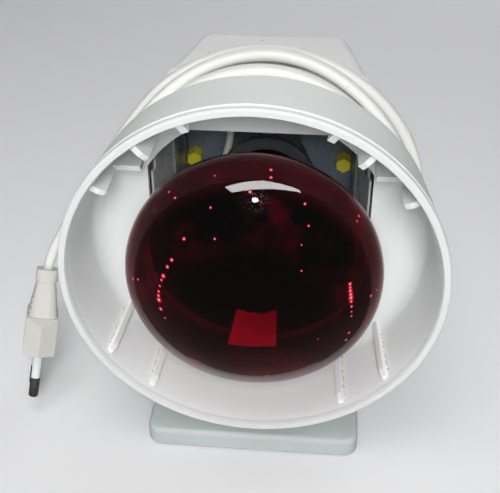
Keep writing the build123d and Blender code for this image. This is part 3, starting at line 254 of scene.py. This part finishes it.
class Finish:
    """A material with one Principled shader and short ways to add nodes to it."""

    def __init__(self, name, colour, roughness, **inputs):
        self.material = bpy.data.materials.new(name)
        self.material.use_nodes = True
        self.nodes = self.material.node_tree.nodes
        self.links = self.material.node_tree.links
        self.shader = self.nodes["Principled BSDF"]
        self.shader.inputs["Base Color"].default_value = (*colour, 1)
        self.shader.inputs["Roughness"].default_value = roughness
        for key, value in inputs.items():
            self.shader.inputs[key.replace("_", " ")].default_value = value

    def add(self, kind, values=None, **settings):
        node = self.nodes.new("ShaderNode" + kind)
        for key, value in settings.items():
            setattr(node, key, value)
        for key, value in (values or {}).items():
            if isinstance(value, bpy.types.NodeSocket):
                self.links.new(value, node.inputs[key])
            else:
                node.inputs[key].default_value = value
        return node

    def object_place(self):
        return self.add("TexCoord").outputs["Object"]

    def noise(self, scale, detail=3.0):
        values = {"Vector": self.object_place(), "Scale": scale, "Detail": detail}
        return self.add("TexNoise", values).outputs["Fac"]

    def spots(self, scale, size):
        """One inside small scattered dots and zero elsewhere."""
        values = {"Vector": self.object_place(), "Scale": scale, "Randomness": 1.0}
        away = self.add("TexVoronoi", values).outputs["Distance"]
        return self.ramp(away, size * SPOT_SOFTNESS, size, 1.0, 0.0)

    def patchy_spots(self, scale, size, bare, full):
        """Spots that come in patches, between two levels of a slow noise."""
        return self.product(self.spots(scale, size), self.ramp(self.noise(PATCH_SCALE), bare, full))

    def clouding(self, share):
        """Soft dirty patches, up to a share."""
        return self.ramp(self.noise(CLOUD_SCALE, 4.0), *CLOUD_LEVELS, 0.0, share)

    def ramp(self, value, low, high, at_low=0.0, at_high=1.0):
        ends = {"From Min": low, "From Max": high, "To Min": at_low, "To Max": at_high}
        node = self.add("MapRange", {"Value": value, **ends})
        node.interpolation_type = "SMOOTHSTEP"
        return node.outputs["Result"]

    def math(self, operation, a, b=0.0):
        return self.add("Math", {0: a, 1: b}, operation=operation).outputs[0]

    def product(self, total, *shares):
        for share in shares:
            total = self.math("MULTIPLY", total, share)
        return total

    def largest(self, total, *shares):
        for share in shares:
            total = self.math("MAXIMUM", total, share)
        return total

    def about(self):
        """The x, depth and z about the hood, in metres."""
        place = self.add("SeparateXYZ", {0: self.object_place()}).outputs
        depth = self.math("SUBTRACT", place["Y"], RIM_Y)
        z = self.math("SUBTRACT", place["Z"], AXIS_Z)
        return place["X"], depth, z

    def reach(self, x, z):
        """The distance from the hood's axis."""
        square = self.math("ADD", self.product(x, x), self.product(z, z))
        return self.math("SQRT", square)

    def mix(self, factor, first, second):
        node = self.add("Mix", data_type="RGBA")
        for socket, value in ((0, factor), (6, first), (7, second)):
            if isinstance(value, bpy.types.NodeSocket):
                self.links.new(value, node.inputs[socket])
            else:
                node.inputs[socket].default_value = value if socket == 0 else (*value, 1)
        return node.outputs[2]

    def colour(self, socket):
        self.links.new(socket, self.shader.inputs["Base Color"])

    def uneven_gloss(self, scale, smoothest, roughest):
        gloss = self.ramp(self.noise(scale, 5.0), *GLOSS_LEVELS, smoothest, roughest)
        self.links.new(gloss, self.shader.inputs["Roughness"])

    def moulded_skin(self, roughness):
        """The gloss and fine grain of moulded plastic."""
        self.uneven_gloss(PLASTIC_GLOSS_SCALE, roughness - 0.06, roughness + 0.1)
        self.bump(self.noise(GRAIN_SCALE, 2.0), GRAIN_STRENGTH, GRAIN_HEIGHT)

    def bump(self, height, strength, distance):
        node = self.add("Bump", {"Height": height, "Strength": strength, "Distance": distance})
        self.links.new(node.outputs["Normal"], self.shader.inputs["Normal"])

    def see_through(self, socket):
        self.links.new(socket, self.shader.inputs["Transmission Weight"])

    def near(self, place, inner, outer):
        """One within the inner distance of a place about the hood, zero beyond the outer one."""
        ends = {0: self.object_place(), 1: about_hood(*place)}
        gap = self.add("VectorMath", ends, operation="DISTANCE").outputs["Value"]
        return self.ramp(gap, inner * MM, outer * MM, 1.0, 0.0)

    def dots(self, rows, spread):
        """One at the middle of every (x, depth, z, size) row about the hood, zero outside it."""
        total = 0.0
        for *place, size in rows:
            dot = self.near(place, size * spread * DOT_CORE, size * spread)
            total = self.math("MAXIMUM", dot, total)
        return total


def moulded(name, colour, dirt, roughness, dirt_share=0.25):
    """Moulded plastic: faint clouding, a fine grain, and scattered specks."""
    finish = Finish(name, colour, roughness, Specular_IOR_Level=0.1)
    base = finish.mix(finish.clouding(dirt_share), colour, dirt)
    specks = finish.patchy_spots(150.0, 0.07, 0.46, 0.6)
    finish.colour(finish.mix(specks, base, darker(colour, SPECK_DARKNESS)))
    finish.moulded_skin(roughness)
    return finish.material


# The hood's outside carries dirt and specks; its inside is painted lighter, as painted light in the
# bowl, and its front lip darker, as painted shade. Its wall, at this radius in front, narrows by
# the taper for each millimetre of depth, and the colours change over the edge's widths.
INSIDE_FRONT = 67.9
INSIDE_TAPER = 0.119
INSIDE_EDGE = (0.1, 0.7)
LIP_DEPTHS = (1.5, 2.5)
LIP_PAINTED_SHADE = 0.93
HOOD_SPECKS = 0.6


def hood_plastic(name, outside, inside, dirt, roughness):
    """White plastic with dirt and specks outside, painted lighter inside the bowl as painted light,
    and darker on the front lip as painted shade.
    """
    finish = Finish(name, outside, roughness, Specular_IOR_Level=0.12)
    x, depth, z = finish.about()
    reach = finish.math("ADD", finish.reach(x, z), finish.product(depth, INSIDE_TAPER))
    start, end = ((INSIDE_FRONT + more) * MM for more in INSIDE_EDGE)
    lip_start, lip_end = (more * MM for more in LIP_DEPTHS)
    # Painted light: the inside of the bowl is painted lighter than the outside.
    bowl = finish.product(
        finish.ramp(reach, start, end, 1.0, 0.0), finish.ramp(depth, lip_start, lip_end)
    )
    specks = finish.product(finish.patchy_spots(230.0, 0.10, 0.5, 0.62), HOOD_SPECKS)
    worn = finish.mix(finish.clouding(0.25), outside, dirt)
    worn = finish.mix(specks, worn, darker(outside, SPECK_DARKNESS))
    # Painted shade: the front lip is painted darker than the rest of the outside.
    lip = finish.ramp(depth, lip_start, lip_end, 1.0, 0.0)
    worn = finish.mix(lip, worn, darker(outside, LIP_PAINTED_SHADE))
    finish.colour(finish.mix(bowl, worn, inside))
    finish.moulded_skin(roughness)
    return finish.material


# The folds of the chassis wings, and the painted highlight along them.
FOLD_DEPTH = 63.0
FOLD_SOFTNESS = 0.8
FOLD_LINE_DEPTH = 61.5
FOLD_LINE_HALF = (1.0, 2.2)


def chassis_paint(name, back, wing, fold_highlight):
    """Blue-grey paint behind the wings' folds, paler in front of them, with a painted highlight
    along them.
    """
    finish = Finish(name, back, 0.25)
    _, depth, _ = finish.about()
    start, end = (FOLD_DEPTH - FOLD_SOFTNESS) * MM, (FOLD_DEPTH + FOLD_SOFTNESS) * MM
    in_front = finish.ramp(depth, start, end, 1.0, 0.0)
    # Painted highlight: a bright line along each fold.
    off_fold = finish.math("ABSOLUTE", finish.math("SUBTRACT", depth, FOLD_LINE_DEPTH * MM))
    fold_highlight_share = finish.ramp(off_fold, *(half * MM for half in FOLD_LINE_HALF), 1.0, 0.0)
    scuffs = finish.ramp(finish.noise(90.0, 5.0), 0.5, 0.7, 0.0, 0.35)
    painted = finish.mix(scuffs, finish.mix(in_front, back, wing), darker(back, 0.7))
    finish.colour(finish.mix(fold_highlight_share, painted, fold_highlight))
    finish.uneven_gloss(METAL_GLOSS_SCALE, 0.2, 0.42)
    return finish.material


def worn_metal(name, colour, roughness):
    """Metal with darker worn patches."""
    finish = Finish(name, colour, roughness, Metallic=1.0)
    finish.uneven_gloss(METAL_GLOSS_SCALE, roughness - 0.08, roughness + 0.12)
    worn = finish.ramp(finish.noise(70.0, 6.0), 0.55, 0.7, 0.0, 0.5)
    finish.colour(finish.mix(worn, colour, darker(colour, 0.6)))
    return finish.material


# Painted glints, standing in for light the reflector throws back through the glass: x, depth and z
# about the hood, and size.
PAINTED_GLINTS = [
    (-26.2, -10.8, 18.7, 1.0), (-27.8, -10.9, 15.8, 1.0), (-29.4, -11.1, 12.0, 1.2),
    (-30.1, -11.0, 10.2, 0.8), (-31.5, -11.2, 1.6, 1.5), (-31.0, -11.4, -2.2, 1.1),
    (-29.6, -12.0, -5.7, 0.6), (34.5, -8.2, 10.6, 1.0), (34.8, -8.5, 7.9, 1.2),
    (35.2, -8.6, 5.0, 1.4), (35.9, -8.3, -3.2, 0.6), (35.5, -7.2, -11.7, 0.8),
    (34.7, -6.8, -15.4, 0.8), (-42.1, -3.1, 4.1, 0.8), (-39.8, -5.0, 5.4, 0.7),
    (42.4, -2.9, 2.0, 0.8), (44.5, -0.1, 2.7, 0.8), (6.1, 4.9, 46.4, 0.9),
    (6.3, 1.9, 45.2, 0.8), (-12.6, 2.9, 44.4, 0.5), (-28.6, 3.9, 36.7, 0.7),
    (-26.0, 0.3, 36.6, 0.7), (36.4, 5.4, 29.6, 0.9), (35.8, 2.9, 29.1, 0.6),
    (-21.9, -9.4, 26.6, 0.9), (-11.2, -11.6, 28.7, 0.6), (-13.1, -5.7, 37.1, 0.6),
    (18.0, -2.9, 38.5, 0.7), (19.6, -6.9, 32.5, 0.6), (17.5, -10.6, 27.3, 0.4),
    (17.9, -14.0, 19.2, 0.5), (6.7, -11.0, -31.2, 0.8), (24.6, -13.9, -9.8, 0.4),
    (-0.2, -3.1, 42.3, 0.8), (-30.9, -11.1, 7.6, 0.7), (-31.4, -11.1, 5.2, 0.9),
    (-31.6, -11.2, 3.4, 1.1), (34.7, -8.4, 9.2, 0.9), (35.0, -8.5, 6.4, 1.2),
    (35.4, -8.6, 3.4, 1.0), (35.6, -8.5, 1.2, 0.8), (35.8, -8.4, -1.2, 0.6),
]
HALO_SPREAD = 1.3
CORE_SPREAD = 0.5
# Dusty specks, painted only round the star, the brightest highlight high on the glass, as a painted
# sparkle of that highlight.
STAR_PLACE = (1.7, -4.7, 40.5)
STAR_DUST_SPARKLE = (0.8, 7.5)
DUST_SPARKLE_SHARE = 0.6
# The painted patch of red light low in the middle: left, right, bottom and top, and its left side's
# lean.
PATCH = (-4.6, 10.2, -10.6, 4.9)
PATCH_LEAN = 0.2
PATCH_EDGE = 0.5
PATCH_WAVE = (-1.6, 1.0)
WAVE_LEVELS = (0.3, 0.7)
PATCH_DIMMEST = 0.35
PATCH_AT_TOP = 0.55
# The painted glow round the edge, brighter low down, from its inner to its outer radius, and the
# heights it fades between.
RING = (40.0, 47.0)
RING_FADE = (-44.0, 0.0)
RING_AT_TOP = 0.25
# Painted red mottle of glow inside the ring, between these radii.
MOTTLE_RING = (22.0, 38.0)
# How far each of them fills the clear glass.
PATCH_FILL = 0.7
RING_FILL = 0.38
MOTTLE_FILL = 0.14
HALO_POWER = 1.5


def painted_light_patch(finish):
    """The painted light patch's share of every point, and its painted brightness there."""
    left, right, bottom, top = (edge * MM for edge in PATCH)
    edge = PATCH_EDGE * MM
    x, depth, z = finish.about()
    low_wave, high_wave = (height * MM for height in PATCH_WAVE)
    wave = finish.ramp(finish.noise(120.0), *WAVE_LEVELS, low_wave, high_wave)
    z_waved = finish.math("ADD", z, wave)
    x_leaned = finish.math("SUBTRACT", x, finish.product(z, PATCH_LEAN))
    share = finish.product(
        finish.math("LESS_THAN", depth, 0.0),
        finish.ramp(x_leaned, left - edge, left + edge),
        finish.ramp(x, right - edge, right + edge, 1.0, 0.0),
        finish.ramp(z, bottom - edge, bottom + edge),
        finish.ramp(z_waved, top - edge, top + edge, 1.0, 0.0),
    )
    cloud = finish.ramp(finish.noise(85.0, 4.0), *WAVE_LEVELS, PATCH_DIMMEST, 1.0)
    return share, finish.product(cloud, finish.ramp(z, bottom, top, 1.0, PATCH_AT_TOP))


def painted_edge_glow(finish):
    """Shares of the painted glow round the bulb's edge, smooth round it and brighter low down, and
    of the painted red mottle inside it.
    """
    x, _, z = finish.about()
    reach = finish.reach(x, z)
    ring = finish.ramp(reach, *(radius * MM for radius in RING))
    low = finish.ramp(z, *(height * MM for height in RING_FADE), 1.0, RING_AT_TOP)
    blotches = finish.ramp(finish.noise(60.0, 5.0), 0.48, 0.72)
    outer = finish.ramp(reach, *(radius * MM for radius in MOTTLE_RING))
    return finish.product(ring, low), finish.product(blotches, outer)


def ruby_glass(name):
    """Deep red glass, with a painted red glow, painted glints and a painted sparkle of dusty specks
    in its colour.
    """
    deep, glow = (0.085, 0.0006, 0.003), (0.26, 0.002, 0.012)
    painted_patch_red, painted_ring_red = (0.25, 0.002, 0.010), (0.50, 0.06, 0.10)
    painted_mottle_red = (0.30, 0.002, 0.018)
    painted_glint_red, painted_glint_core, dust_sparkle_grey = (0.85, 0.012, 0.05), (1.0, 0.42, 0.48), (0.60, 0.50, 0.56)
    finish = Finish(name, deep, 0.012, Transmission_Weight=1.0, IOR=1.3, Specular_IOR_Level=0.22)
    # Painted faint red glow, uneven by a noise.
    painted_glow_haze = finish.ramp(finish.noise(26.0, 2.0), 0.5, 0.72)
    patch, brightness = painted_light_patch(finish)
    ring, mottle = painted_edge_glow(finish)
    # Painted glints: a red halo and a pale core round each listed place, in place of the glass's
    # see-through.
    halo, core = finish.dots(PAINTED_GLINTS, HALO_SPREAD), finish.dots(PAINTED_GLINTS, CORE_SPREAD)
    near_star = finish.near(STAR_PLACE, *STAR_DUST_SPARKLE)
    # Painted sparkle: grey dusty specks only near the star's highlight.
    dust_sparkle = finish.product(finish.spots(1500.0, 0.30), near_star, DUST_SPARKLE_SHARE)
    colour = finish.mix(mottle, finish.mix(painted_glow_haze, deep, glow), painted_mottle_red)
    for share, red in (
        (ring, painted_ring_red),
        (finish.product(patch, brightness), painted_patch_red),
        (halo, painted_glint_red),
        (core, painted_glint_core),
        (dust_sparkle, dust_sparkle_grey),
    ):
        colour = finish.mix(share, colour, red)
    finish.colour(colour)
    # Where painted light shows, the glass lets less through.
    filled = finish.largest(
        finish.product(patch, PATCH_FILL),
        finish.math("POWER", halo, HALO_POWER),
        finish.product(ring, RING_FILL),
        finish.product(mottle, MOTTLE_FILL),
        dust_sparkle,
    )
    finish.see_through(finish.math("SUBTRACT", 1.0, filled))
    finish.bump(finish.noise(35.0, 2.0), 0.03, GLASS_WAVE_HEIGHT)
    return finish.material


def ruby_back():
    """Dark red lacquer over the reflector's back."""
    finish = Finish("ruby_back", (0.055, 0.008, 0.010), 0.16, Metallic=0.35, Coat_Weight=1.0)
    finish.bump(finish.noise(50.0, 2.0), 0.05, GLASS_WAVE_HEIGHT)
    return finish.material


def mirror_coat():
    """The slightly uneven mirror inside the reflector."""
    finish = Finish("mirror_coat", (0.30, 0.28, 0.28), 0.05, Metallic=1.0)
    finish.bump(finish.noise(220.0), 0.35, GLASS_WAVE_HEIGHT)
    return finish.material


def clear_glass(name, colour, roughness):
    """Plain clear glass."""
    return Finish(name, colour, roughness, Transmission_Weight=1.0, IOR=1.5).material


# Each finish by its name: what makes it, its colours, and its roughness.
FINISH_TABLE = {
    # The hood's inside colour is painted lighter, as painted light in the bowl.
    "hood_white": (
        hood_plastic, (0.78, 0.795, 0.785), (0.90, 0.92, 0.915), (0.68, 0.69, 0.67), 0.4,
    ),
    "housing_white": (moulded, (0.76, 0.765, 0.755), (0.62, 0.62, 0.61), 0.5),
    "foot_grey_white": (moulded, (0.53, 0.58, 0.57), (0.42, 0.45, 0.43), 0.42, 0.5),
    "underside_grey": (moulded, (0.45, 0.47, 0.47), (0.32, 0.33, 0.33), 0.55),
    "ballast_steel": (worn_metal, (0.42, 0.43, 0.45), 0.45),
    "rubber_pad": (moulded, (0.035, 0.035, 0.035), (0.09, 0.09, 0.085), 0.75),
    "zinc_steel": (worn_metal, (0.62, 0.62, 0.64), 0.32),
    "fibre_washer": (moulded, (0.30, 0.10, 0.06), (0.20, 0.07, 0.05), 0.65),
    # The third colour of the chassis is its painted fold highlight.
    "chassis_grey": (chassis_paint, (0.17, 0.215, 0.26), (0.58, 0.60, 0.59), (0.92, 0.94, 0.94)),
    "nut_yellow": (moulded, (0.86, 0.76, 0.06), (0.66, 0.56, 0.05), 0.4),
    "holder_black": (moulded, (0.075, 0.077, 0.083), (0.12, 0.12, 0.13), 0.22),
    "brass": (worn_metal, (0.36, 0.26, 0.11), 0.4),
    "lead_sleeve": (moulded, (0.90, 0.89, 0.83), (0.70, 0.67, 0.58), 0.5),
    "terminal_natural": (moulded, (0.70, 0.69, 0.63), (0.55, 0.53, 0.47), 0.45),
    "cord_pvc": (moulded, (0.80, 0.80, 0.765), (0.73, 0.72, 0.66), 0.5),
    "plug_pvc": (moulded, (0.62, 0.61, 0.58), (0.50, 0.49, 0.45), 0.5),
    "pin_metal": (worn_metal, (0.20, 0.19, 0.18), 0.35),
    "pin_sleeve": (moulded, (0.74, 0.80, 0.79), (0.60, 0.66, 0.65), 0.35),
    "ruby_glass": (ruby_glass,),
    "cap_metal": (worn_metal, (0.60, 0.59, 0.56), 0.3),
    "cap_glass": (moulded, (0.02, 0.02, 0.03), (0.04, 0.04, 0.05), 0.15),
    "stem_glass": (clear_glass, (0.85, 0.88, 0.88), 0.03),
    "tungsten": (worn_metal, (0.30, 0.29, 0.28), 0.4),
}
FINISHES = {name: make(name, *values) for name, (make, *values) in FINISH_TABLE.items()}


def paint_cad_nodes():
    """Give every CAD node the finish of its slot."""
    for part in frame["record"]["subparts"]:
        node = frame["nodes"][part["node"]]
        material = FINISHES[part["material_slot"]]
        if not node.data.materials:
            node.data.materials.append(material)
        for k in range(len(node.material_slots)):
            node.material_slots[k].material = material


paint_cad_nodes()
cord.data.materials.append(FINISHES["cord_pvc"])


# ---- Bulb ----
# Millimetres: the radii of the outline's arcs, with the widest place and the ends as depths.
BULB_RADIUS = 47.5
BULB_WIDEST = 10.0
DOME_RADIUS = 62.0
BULB_EDGE = 19.0
BACK_TURN = 40.0
NECK_RADIUS = 14.2
NECK_FLARE = 20.0
NECK_END = 84.0
GLASS_WALL = 1.2
RUBY_END = 22.0
AROUND = 128
DOME_STEPS = 24
EDGE_STEPS = 28
CONE_STEPS = 6
FLARE_STEPS = 8
ON_AXIS = 1e-6


def bulb_outline(inset):
    """Half outline of the glass as (radius, depth), from the front's middle to the neck's end."""
    edge_x = BULB_RADIUS - BULB_EDGE
    dome_gap = sqrt((DOME_RADIUS - BULB_EDGE) ** 2 - edge_x**2)
    turn = atan2(edge_x, dome_gap)
    dome, edge, flare = DOME_RADIUS - inset, BULB_EDGE - inset, NECK_FLARE + inset
    end = radians(BACK_TURN)
    points = []
    for k in range(DOME_STEPS):
        a = turn * k / DOME_STEPS
        points.append((dome * sin(a), BULB_WIDEST + dome_gap - dome * cos(a)))
    for k in range(EDGE_STEPS + 1):
        a = turn + (pi / 2 + end - turn) * k / EDGE_STEPS
        points.append((edge_x + edge * sin(a), BULB_WIDEST - edge * cos(a)))
    x, y = points[-1]
    centre_x = NECK_RADIUS + NECK_FLARE
    start_x = centre_x - flare * cos(end)
    start_y = y + (x - start_x) * cos(end) / sin(end)
    centre_y = start_y + flare * sin(end)
    for k in range(1, CONE_STEPS):
        points.append((x + (start_x - x) * k / CONE_STEPS, y + (start_y - y) * k / CONE_STEPS))
    for k in range(FLARE_STEPS + 1):
        a = end * (1 - k / FLARE_STEPS)
        points.append((centre_x - flare * cos(a), centre_y - flare * sin(a)))
    points.append((NECK_RADIUS - inset, NECK_END))
    return points


def ring_places(radius, depth):
    """Places round the hood's axis, or only the one on it."""
    if radius < ON_AXIS:
        return [about_hood(0, depth, 0)]
    turns = [2 * pi * k / AROUND for k in range(AROUND)]
    return [about_hood(radius * cos(turn), depth, radius * sin(turn)) for turn in turns]


def turned_shell(name, outline, materials, inner_start=None):
    """A surface turned about the hood's axis from a closed (radius, depth) outline."""
    mesh = bmesh.new()
    rings = [[mesh.verts.new(place) for place in ring_places(*point)] for point in outline]
    for row, (first, second) in enumerate(zip(rings, rings[1:] + rings[:1])):
        if len(first) == 1 and len(second) == 1:
            continue
        for k in range(AROUND):
            after = (k + 1) % AROUND
            corners = [first[n % len(first)] for n in (k, after)]
            corners += [second[n % len(second)] for n in (after, k)]
            face = mesh.faces.new(list(dict.fromkeys(corners)))
            face.smooth = True
            face.material_index = int(inner_start is not None and row >= inner_start)
    bmesh.ops.recalc_face_normals(mesh, faces=mesh.faces)
    data = bpy.data.meshes.new(name)
    mesh.to_mesh(data)
    mesh.free()
    for material in materials:
        data.materials.append(material)
    return linked(name, data)


def bulb():
    """The ruby front, and the coated reflector and neck behind it."""
    outer, inner = bulb_outline(0), bulb_outline(GLASS_WALL)
    front = [p for p in outer if p[1] <= RUBY_END]
    front_inner = [p for p in inner if p[1] <= RUBY_END]
    glass = turned_shell("bulb_front", front + front_inner[::-1], [FINISHES["ruby_glass"]])
    back = [p for p in outer if p[1] > RUBY_END]
    back_inner = [p for p in inner if p[1] > RUBY_END]
    coats = [ruby_back(), mirror_coat()]
    rear = turned_shell("bulb_reflector", back + back_inner[::-1], coats, len(back) - 1)
    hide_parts("bulb_glass")
    for piece in (glass, rear):
        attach(piece, "bulb")


bulb()


# ---- Glue along the hood's lower ribs ----
# Degrees round the axis, and millimetres: the wall narrows by the taper behind its start.
RIB_ANGLES = (-146.5, -127.0, -58.0, -39.5)
RIB_HALF = 1.4
GLUE_SPAN = (8.0, 35.0)
WALL_AT_FRONT = 66.9
WALL_TAPER = 0.1
WALL_START = 4.4
BEAD_SPACING = 1.1
BEAD_RADIUS = 0.38
BEAD_SCATTER = 0.18
SMALLEST_BEAD = 0.35


def glue_lines():
    """Two lines along each rib's foot, as one mesh of edges."""
    verts, edges = [], []
    for angle in RIB_ANGLES:
        turn = radians(angle)
        out = Vector((cos(turn), 0, sin(turn)))
        across = Vector((-sin(turn), 0, cos(turn)))
        for side in (-RIB_HALF, RIB_HALF):
            for depth in GLUE_SPAN:
                radius = WALL_AT_FRONT - WALL_TAPER * (depth - WALL_START)
                place = out * radius + across * side
                verts.append(about_hood(place.x, depth, place.z))
            edges.append((len(verts) - 2, len(verts) - 1))
    mesh = bpy.data.meshes.new("glue_lines")
    mesh.from_pydata([tuple(v) for v in verts], edges, [])
    return linked("glue_lines", mesh)


def bead_tree():
    """Beads of uneven size along every line of the mesh that comes in."""
    tree = bpy.data.node_groups.new("beads", "GeometryNodeTree")
    face = tree.interface
    face.new_socket("Geometry", in_out="INPUT", socket_type="NodeSocketGeometry")
    for name in ("Spacing", "Bead", "Scatter"):
        face.new_socket(name, in_out="INPUT", socket_type="NodeSocketFloat")
    face.new_socket("Finish", in_out="INPUT", socket_type="NodeSocketMaterial")
    face.new_socket("Geometry", in_out="OUTPUT", socket_type="NodeSocketGeometry")

    def node(kind, **values):
        made = tree.nodes.new(kind)
        for key, value in values.items():
            made.inputs[key].default_value = value
        return made

    given, made = node("NodeGroupInput").outputs, node("NodeGroupOutput").inputs
    line, divided = node("GeometryNodeMeshToCurve"), node("GeometryNodeResampleCurve")
    divided.mode = "LENGTH"
    shift, moved = node("FunctionNodeRandomValue", Seed=11), node("GeometryNodeSetPosition")
    shift.data_type = "FLOAT_VECTOR"
    shift.inputs["Min"].default_value, shift.inputs["Max"].default_value = (-1, -1, -1), (1, 1, 1)
    scaled = node("ShaderNodeVectorMath")
    scaled.operation = "SCALE"
    bead = node("GeometryNodeMeshIcoSphere", Subdivisions=2)
    size = node("FunctionNodeRandomValue", Seed=4)
    size.inputs[2].default_value, size.inputs[3].default_value = SMALLEST_BEAD, 1.0
    placed, real = node("GeometryNodeInstanceOnPoints"), node("GeometryNodeRealizeInstances")
    coated = node("GeometryNodeSetMaterial")
    for start, end in (
        (given["Geometry"], line.inputs["Mesh"]),
        (line.outputs["Curve"], divided.inputs["Curve"]),
        (given["Spacing"], divided.inputs["Length"]),
        (divided.outputs["Curve"], moved.inputs["Geometry"]),
        (shift.outputs["Value"], scaled.inputs[0]),
        (given["Scatter"], scaled.inputs["Scale"]),
        (scaled.outputs["Vector"], moved.inputs["Offset"]),
        (moved.outputs["Geometry"], placed.inputs["Points"]),
        (given["Bead"], bead.inputs["Radius"]),
        (bead.outputs["Mesh"], placed.inputs["Instance"]),
        (size.outputs[1], placed.inputs["Scale"]),
        (placed.outputs["Instances"], real.inputs["Geometry"]),
        (real.outputs["Geometry"], coated.inputs["Geometry"]),
        (given["Finish"], coated.inputs["Material"]),
        (coated.outputs["Geometry"], made["Geometry"]),
    ):
        tree.links.new(start, end)
    return tree


def glue_beads():
    """Old glue along both feet of every lower rib, as plain mesh on the head."""
    lines, tree = glue_lines(), bead_tree()
    glue = moulded("old_glue", (0.58, 0.51, 0.38), (0.38, 0.30, 0.18), 0.35, 0.9)
    sizes = {
        "Spacing": BEAD_SPACING * MM,
        "Bead": BEAD_RADIUS * MM,
        "Scatter": BEAD_SCATTER * MM,
        "Finish": glue,
    }
    modifier = lines.modifiers.new("beads", "NODES")
    modifier.node_group = tree
    for item in tree.interface.items_tree:
        if item.name in sizes:
            modifier[item.identifier] = sizes[item.name]
    lines.update_tag()
    evaluated = lines.evaluated_get(bpy.context.evaluated_depsgraph_get())
    mesh = bpy.data.meshes.new_from_object(evaluated)
    bpy.data.objects.remove(lines)
    for polygon in mesh.polygons:
        polygon.use_smooth = True
    beads = linked("rib_glue_beads", mesh)
    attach(beads, "head")


glue_beads()


# ---- Stage and light ----
FLOOR_HALF = 4.0
FLOOR_COLOUR = (0.80, 0.80, 0.81)
SKY_COLOUR = (0.90, 0.91, 0.93)
SKY_STRENGTH = 0.20


def add_floor():
    size = FLOOR_HALF
    corners = [(-size, -size, 0), (size, -size, 0), (size, size, 0), (-size, size, 0)]
    material = Finish("pale_floor", FLOOR_COLOUR, 0.9).material
    floor = new_piece("floor", corners, [(0, 1, 2, 3)], material, smooth=False)
    floor.visible_glossy = False


def add_light(name, place, size, power, size_y=None, mirrored=True, lights=True):
    """A lamp at a place about the hood, aimed at the hood's middle.

    A lamp that isn't mirrored only lights; one that doesn't light is only seen mirrored.
    """
    data = bpy.data.lights.new(name, "AREA")
    data.size = size
    data.shape = "RECTANGLE" if size_y else "DISK"
    data.size_y = size_y or size
    data.energy = power
    lamp = linked(name, data)
    lamp.location = about_hood(*place)
    lamp.rotation_euler = (HOOD_CENTRE - lamp.location).to_track_quat("-Z", "Y").to_euler()
    lamp.visible_glossy = mirrored
    lamp.visible_diffuse = lights
    lamp.visible_transmission = False


def add_world():
    world = bpy.data.worlds.new("studio")
    world.use_nodes = True
    background = world.node_tree.nodes["Background"]
    background.inputs["Color"].default_value = (*SKY_COLOUR, 1)
    background.inputs["Strength"].default_value = SKY_STRENGTH
    bpy.context.scene.world = world


add_floor()
add_world()
add_light("key", (57, -670, 505), 0.30, 5.1, mirrored=False)
add_light("overhead", (-120, -280, 950), 0.70, 3.4, mirrored=False)
add_light("rear", (250, 950, 420), 0.70, 1.8, mirrored=False)
add_light("panel", (75, -170, 985), 1.00, 29.0, size_y=0.30, lights=False)
add_light("spark", (-4.6, -272.9, 363.6), 0.027, 0.9, lights=False)
bpy.context.scene.view_settings.view_transform = "Standard"
